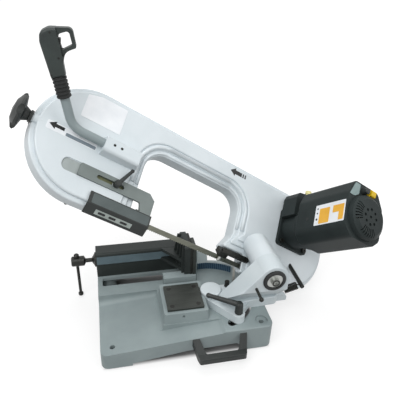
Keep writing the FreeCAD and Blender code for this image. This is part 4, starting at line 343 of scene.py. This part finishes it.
def arrow_outline(tip_x, tail_x, y, half, slim):
    neck = tip_x + 0.42 * (tail_x - tip_x)
    return [(tip_x, y), (neck, y - half), (neck, y - slim), (tail_x, y - slim), (tail_x, y + slim),
            (neck, y + slim), (neck, y + half)]


def dot_outline(x, y, radius, sides=12):
    turns = [math.tau * k / sides for k in range(sides)]
    return [(x + radius * math.cos(turn), y + radius * math.sin(turn)) for turn in turns]

# %% [markdown]
# ## Plates on the bow
# The bow's face is 20 mm in front of the blade's middle plane. It carries a bare rating plate, a white strip
# with the blade's running arrow, and a second printed arrow. The handle's shadow on the strip's right end is
# painted on as a grey-blue film. The track of the left guide shows its grey primer, and olive in the slot.

# %% Plates and arrows
FACE_MM = 20.0
FILM_MM = 0.3
plate_outline = [(-578, 46), (-491, 46), (-491, 106), (-549, 106), (-578, 97)]
flat_piece("bare_plate", plate_outline, FACE_MM, 0.6, WHITE_FILM, round_mm=2.0)
flat_piece("arrow_strip", box_outline(-630, -526, -10, 8), FACE_MM, FILM_MM, WHITE_FILM, round_mm=3.0)
# Painted shadow of the handle on the strip's right end.
flat_piece("painted_shadow_strip_end", box_outline(-590, -527, -9, -2), FACE_MM + FILM_MM, FILM_MM, SHADE_FILM, round_mm=2.0)
flat_piece("strip_arrow", arrow_outline(-626, -595, 2, 8, 3.4), FACE_MM + FILM_MM, FILM_MM, BLACK_FILM)
flat_piece("running_arrow", arrow_outline(-212, -178, 100, 10, 5.0), FACE_MM, FILM_MM, BLACK_FILM)
for index, left in enumerate((-175.5, -169.0)):
    bar = box_outline(left, left + 3.5, 95, 105)
    flat_piece("arrow_bar_%d" % index, bar, FACE_MM, FILM_MM, BLACK_FILM)

# %% Track of the left guide
TRACK_MM = 17.0
PRIMER_MM = 0.1
SLOT_Y = -58.5
flat_piece("track_floor", box_outline(-577, -530, -71, -46), TRACK_MM, PRIMER_MM, GREY_FILM, round_mm=9.0)
for name, left, right in (("slot_floor_left", -525, -470), ("slot_floor_right", -458, -425)):
    floor_box = box_outline(left, right, SLOT_Y - 6, SLOT_Y + 6)
    flat_piece(name, floor_box, TRACK_MM, PRIMER_MM, OLIVE_FILM)
print("plates, arrows and track primer placed")

# %% [markdown]
# ## Labels on the motor
# The motor's left side carries a white label with two plain orange panels and three dots, and one round
# opening beside it. Its board looks along the bow. The end plate has a grey-teal corner next to the dial, and
# a cream button tops the cap of the switch box.

# %% Label on the motor's left side
MOTOR_SIDE_MM = 48.0
SIDE = board(head_out, head_up, -head_along, head_zero)
flat_piece("motor_label", box_outline(150, 234, -1, 48), MOTOR_SIDE_MM, FILM_MM, WHITE_FILM, SIDE, 2.0)
PRINT_MM = MOTOR_SIDE_MM + FILM_MM
flat_piece("label_panel_left", box_outline(163, 192, 2, 38), PRINT_MM, FILM_MM, ORANGE_FILM, SIDE, 1.5)
hook = [(201, 39), (201, 22), (218, 22), (218, 3), (231, 3), (231, 39)]
flat_piece("label_panel_right", hook, PRINT_MM, FILM_MM, ORANGE_FILM, SIDE)
for index, (height, radius) in enumerate(((13.5, 2.6), (28.0, 1.9), (39.0, 1.9))):
    dot = dot_outline(156.5, height, radius)
    flat_piece("label_dot_%d" % index, dot, PRINT_MM, FILM_MM, BLACK_FILM, SIDE)
flat_piece("side_opening", dot_outline(127.0, 20.0, 4.0), MOTOR_SIDE_MM, FILM_MM, BLACK_FILM, SIDE)

# %% Button on the switch box
CAP_TOP_MM = 118.0
BUTTON_MM = 8.0
TOP = board(head_along, -head_out, head_up, head_zero)
button = dot_outline(0.0, -62.0, 7.5, 20)
flat_piece("cap_button", button, CAP_TOP_MM, BUTTON_MM, (CREAM_PLASTIC, "pale_yellow"), TOP)

# %% Corner of the end plate
MOTOR_MIDDLE = (6.0, 24.0)
END_PLATE_MM = 239.0
corner = [(-52, 38), (-37, 38), (-25, 47), (-23, 70), (-38, 70)]
corner = [(x + MOTOR_MIDDLE[0], y + MOTOR_MIDDLE[1]) for x, y in corner]
flat_piece("end_corner", corner, END_PLATE_MM, 1.0, TEAL_FILM, round_mm=2.0)
print("motor labels placed")

# %% [markdown]
# ## The blade guard's painted sheen and silver strip
# The guard is a bent black sheet. Its upper facet carries a painted sheen, a dark grey film for the light it
# reflects, and its lower facet a silver strip with black marks. The lower facet slopes, so its board is
# turned about the bow's length by that slope.

# %% Films on the guard
GUARD_FACE_MM = 26.3
FACET_FALL = 18.0
FACET_DEPTH = 17.0
guard_box = box_outline(-500, -375, -113, -93)
# Painted sheen on the guard's upper facet.
flat_piece("guard_painted_sheen", guard_box, GUARD_FACE_MM, FILM_MM, GUARD_SHEEN_FILM, round_mm=3.0, body="guide")
toe_to_knee = (FACET_FALL * head_up + FACET_DEPTH * head_out).normalized()
facet_out = (-FACET_DEPTH * head_up + FACET_FALL * head_out).normalized()
toe = head_zero + MM * (-133.0 * head_up + 9.3 * head_out)
SLOPE = board(head_along, toe_to_knee, facet_out, toe)
flat_piece("guard_strip", box_outline(-485, -405, 6, 17), 0.0, FILM_MM, SILVER_FILM, SLOPE, 1.0, "guide")
for index, left in enumerate((-478, -455, -430)):
    mark = box_outline(left, left + 15, 9, 14)
    flat_piece("strip_mark_%d" % index, mark, FILM_MM, FILM_MM, BLACK_FILM, SLOPE, 1.5, "guide")

# %% Painted sheen on the vise slide
SLIDE_FACE_MM = -88.0
sheen_outline = [(-183, 104.5), (-34, 104.5), (-30, 110.5), (8, 110.5), (-26, 126), (-183, 126)]
# The slide's black front facet is lighter only where it reflects the lamps; this slate film is that painted
# sheen.
flat_piece("painted_sheen_stripe", sheen_outline, SLIDE_FACE_MM, FILM_MM, PAINTED_SHEEN_FILM, FRONT, body="moving_jaw")
print("guard and vise films placed")

# %% [markdown]
# ## Beads round the throat
# The casting is stiffened by two round beads that follow the throat. A bead is a swept half disc: a circle is
# cut in half, run up the left leg, spun round the corner, run along the top, spun again and run down.

# %% Swept beads
THROAT_LEFT = -415.0
THROAT_TOP = 54.0
THROAT_RIGHT = -160.0
THROAT_CORNER = 45.0
LEFT_END = -34.0
RIGHT_END = -30.0
BEAD_STEPS = 12


def throat_bead(name, offset_mm, floor_mm, radius_mm):
    shape = bmesh.new()
    bmesh.ops.create_circle(shape, cap_ends=True, segments=24, radius=radius_mm * MM)
    bmesh.ops.rotate(shape, verts=shape.verts[:], matrix=Matrix.Rotation(math.pi / 2, 3, "X"))
    everything = shape.verts[:] + shape.edges[:] + shape.faces[:]
    bmesh.ops.bisect_plane(shape, geom=everything, plane_co=(0, 0, 0), plane_no=(0, 0, 1), clear_inner=True)
    where = ((THROAT_LEFT - offset_mm) * MM, LEFT_END * MM, floor_mm * MM)
    bmesh.ops.translate(shape, verts=shape.verts[:], vec=where)
    end = shape.faces[:][0]

    def run(end, x, y):
        grown = bmesh.ops.extrude_face_region(shape, geom=[end])["geom"]
        ahead = [item for item in grown if isinstance(item, bmesh.types.BMVert)]
        bmesh.ops.translate(shape, verts=ahead, vec=(x * MM, y * MM, 0))
        return [item for item in grown if isinstance(item, bmesh.types.BMFace)][0]

    def turn(end, x, y):
        spun = bmesh.ops.spin(shape, geom=[end], cent=(x * MM, y * MM, 0), axis=(0, 0, 1),
                              angle=-math.pi / 2, steps=BEAD_STEPS, use_merge=False)
        return [item for item in spun["geom_last"] if isinstance(item, bmesh.types.BMFace)][0]

    corner_y = THROAT_TOP - THROAT_CORNER
    end = run(end, 0, corner_y - LEFT_END)
    end = turn(end, THROAT_LEFT + THROAT_CORNER, corner_y)
    end = run(end, THROAT_RIGHT - THROAT_LEFT - 2 * THROAT_CORNER, 0)
    end = turn(end, THROAT_RIGHT - THROAT_CORNER, corner_y)
    run(end, 0, RIGHT_END - corner_y)
    for face in shape.faces:
        face.smooth = len(face.verts) == 4
    place_piece(shape, name, HEAD, (BOW_COAT, "bow_white"), "bow")


throat_bead("lip_bead", 6.0, 12.0, 3.6)
throat_bead("inner_bead", 18.5, 16.0, 4.6)
print("beads swept round the throat: 2")

# %% [markdown]
# ## Turned trim
# Two small rings are turned on the lathe: a dark collar where the tension knob's stem meets the bow, and the
# dark head of the pivot bolt. A closed profile is drawn at one side of the axis and spun all the way round.

# %% Collar and bolt head
def turned_ring(name, inner_mm, outer_mm, low_mm, high_mm, where, finish, body, steps=36):
    shape = bmesh.new()
    corners = [(inner_mm, low_mm), (outer_mm, low_mm), (outer_mm, high_mm), (inner_mm, high_mm)]
    verts = [shape.verts.new((radius * MM, 0, height * MM)) for radius, height in corners]
    edges = [shape.edges.new((verts[k - 1], verts[k])) for k in range(len(verts))]
    bmesh.ops.spin(shape, geom=verts + edges, cent=(0, 0, 0), axis=(0, 0, 1), angle=math.tau, steps=steps,
                   use_merge=True)
    bmesh.ops.remove_doubles(shape, verts=shape.verts[:], dist=0.01 * MM)
    place_piece(shape, name, where, finish, body)


KNOB_AXIS_MM = 11.4
BOW_LEFT_MM = -656.5
knob_root = HEAD @ Vector((BOW_LEFT_MM * MM, 0, KNOB_AXIS_MM * MM))
KNOB = board(head_up, head_out, head_along, knob_root)
turned_ring("knob_collar", 9.05, 12.5, -5.8, -0.6, KNOB, (BLACK_PLASTIC, "black_plastic"), "bow")
pivot_low, pivot_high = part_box("pivot_bolt")
pivot_middle = 0.5 * (pivot_low + pivot_high)
PIVOT = board(Vector((1, 0, 0)), Vector((0, 0, 1)), Vector((0, -1, 0)),
              Vector((pivot_middle.x, pivot_low.y, pivot_middle.z)))
turned_ring("bolt_head_face", 5.0, 8.4, 0.0, 0.3, PIVOT, (BLACK_STEEL, "black_steel"), "arm")
print("turned rings: 2")

# %% [markdown]
# ## The studio
# A pale floor that fills the frame and soft light from large panels. The floor is lifted to white for rays
# that come straight from the camera or off a shiny surface, except under the base, where it stays dark, so
# that the slots in the base look as deep as they are. Its own paint is a darker grey, which keeps the light
# that it throws up at the undersides low. Far off, where the panels reach less, the lift grows.

# %% Rays that see the backdrop
def straight_or_shiny(tree):
    rays = add(tree, "ShaderNodeLightPath").outputs
    shiny = add(tree, "ShaderNodeMath", operation="MAXIMUM",
                links={0: rays["Is Glossy Ray"], 1: rays["Is Transmission Ray"]})
    return add(tree, "ShaderNodeMath", operation="MAXIMUM",
               links={0: rays["Is Camera Ray"], 1: shiny.outputs[0]})

# %% Floor
FLOOR_SIZE = 12.0
LIFT_NEAR = 0.68
LIFT_FAR = 0.9
floor_shape = bmesh.new()
bmesh.ops.create_grid(floor_shape, x_segments=1, y_segments=1, size=FLOOR_SIZE)
floor_mesh = bpy.data.meshes.new("floor")
floor_shape.to_mesh(floor_mesh)
floor_shape.free()
floor = bpy.data.objects.new("floor", floor_mesh)
bpy.context.scene.collection.objects.link(floor)
floor_paint = bpy.data.materials.new("floor_paint")
floor_paint.use_nodes = True
tree = floor_paint.node_tree
tree.nodes.clear()
matte = add(tree, "ShaderNodeBsdfDiffuse", values={"Color": (0.36, 0.36, 0.36, 1.0)})
seen = straight_or_shiny(tree)

# %% Dark patch under the base
BEHIND = 0.03
base_low, base_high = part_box("base_casting")
base_high = base_high + Vector((0, BEHIND, 0))
base_middle = 0.5 * (base_low + base_high)
base_half = 0.5 * (base_high - base_low)
spot = add(tree, "ShaderNodeTexCoord").outputs["Object"]
off = add(tree, "ShaderNodeVectorMath", links={0: spot}, values={1: base_middle}, operation="SUBTRACT")
size = add(tree, "ShaderNodeVectorMath", links={0: off.outputs["Vector"]},
           values={1: (base_half.x, base_half.y, 1.0)}, operation="DIVIDE")
far = add(tree, "ShaderNodeVectorMath", links={0: size.outputs["Vector"]}, operation="ABSOLUTE")
parts = add(tree, "ShaderNodeSeparateXYZ", links={"Vector": far.outputs["Vector"]})
widest = add(tree, "ShaderNodeMath", links={0: parts.outputs["X"], 1: parts.outputs["Y"]},
             operation="MAXIMUM")
edge = add(tree, "ShaderNodeMapRange", links={"Value": widest.outputs[0]},
           values={"From Min": 0.92, "From Max": 0.99, "To Min": 0.0, "To Max": 1.0})
grade = add(tree, "ShaderNodeMapRange", links={"Value": widest.outputs[0]},
            values={"From Min": 1.5, "From Max": 6.0, "To Min": LIFT_NEAR, "To Max": LIFT_FAR})
outside = add(tree, "ShaderNodeMath", links={0: edge.outputs["Result"], 1: grade.outputs["Result"]},
              operation="MULTIPLY")
lift = add(tree, "ShaderNodeMath", links={0: seen.outputs[0], 1: outside.outputs[0]}, operation="MULTIPLY")
glow = add(tree, "ShaderNodeEmission", links={"Strength": lift.outputs[0]},
           values={"Color": (1.0, 1.0, 1.0, 1.0)})
both = add(tree, "ShaderNodeAddShader", links={0: matte.outputs[0], 1: glow.outputs[0]})
add(tree, "ShaderNodeOutputMaterial", links={"Surface": both.outputs[0]})
floor_mesh.materials.append(floor_paint)

# %% Lamps and surround
def panel_light(name, place, aim, size, watts):
    lamp = bpy.data.lights.new(name, "AREA")
    lamp.size = size
    lamp.energy = watts
    holder = bpy.data.objects.new(name, lamp)
    holder.location = place
    holder.rotation_euler = (Vector(aim) - Vector(place)).to_track_quat("-Z", "Y").to_euler()
    bpy.context.scene.collection.objects.link(holder)


SKY_LIGHT = 0.4
KEY_WATTS = 38
FILL_WATTS = 14
TOP_WATTS = 16
middle = 0.5 * (cad_low + cad_high)
panel_light("key_panel", (-0.9, -1.3, 2.2), middle, 1.6, KEY_WATTS)
panel_light("fill_panel", (1.8, -1.2, 1.4), middle, 1.8, FILL_WATTS)
panel_light("top_panel", (0.2, 0.8, 2.4), middle, 1.8, TOP_WATTS)
surround = bpy.data.worlds.new("surround")
surround.use_nodes = True
sky = surround.node_tree.nodes["Background"]
sky.inputs["Color"].default_value = (1.0, 1.0, 1.0, 1.0)
level = add(surround.node_tree, "ShaderNodeMapRange", values={"To Min": SKY_LIGHT, "To Max": 1.0},
            links={"Value": straight_or_shiny(surround.node_tree).outputs[0]})
surround.node_tree.links.new(level.outputs["Result"], sky.inputs["Strength"])
bpy.context.scene.world = surround

# %% [markdown]
# ## Camera
# The photo was taken from a little left of the front, 30 degrees above. Three of the camera's axes are given
# as directions, which keeps its slight roll.

# %% Camera at the photo's place
LENS_MM = 40.77
SENSOR_MM = 36.0
camera_data = bpy.data.cameras.new("photo_camera")
camera_data.lens = LENS_MM
camera_data.sensor_width = SENSOR_MM
camera_data.sensor_fit = "HORIZONTAL"
camera = bpy.data.objects.new("photo_camera", camera_data)
camera_right = Vector((0.978, -0.206, 0.034)).normalized()
camera_back = Vector((-0.195, -0.843, 0.501)).normalized()
camera_up = camera_back.cross(camera_right).normalized()
camera_right = camera_up.cross(camera_back)
camera.matrix_world = board(camera_right, camera_up, camera_back, Vector((-143.0, -785.6, 780.0)) * MM)
bpy.context.scene.collection.objects.link(camera)
bpy.context.scene.camera = camera
bpy.context.scene.view_settings.view_transform = "Standard"
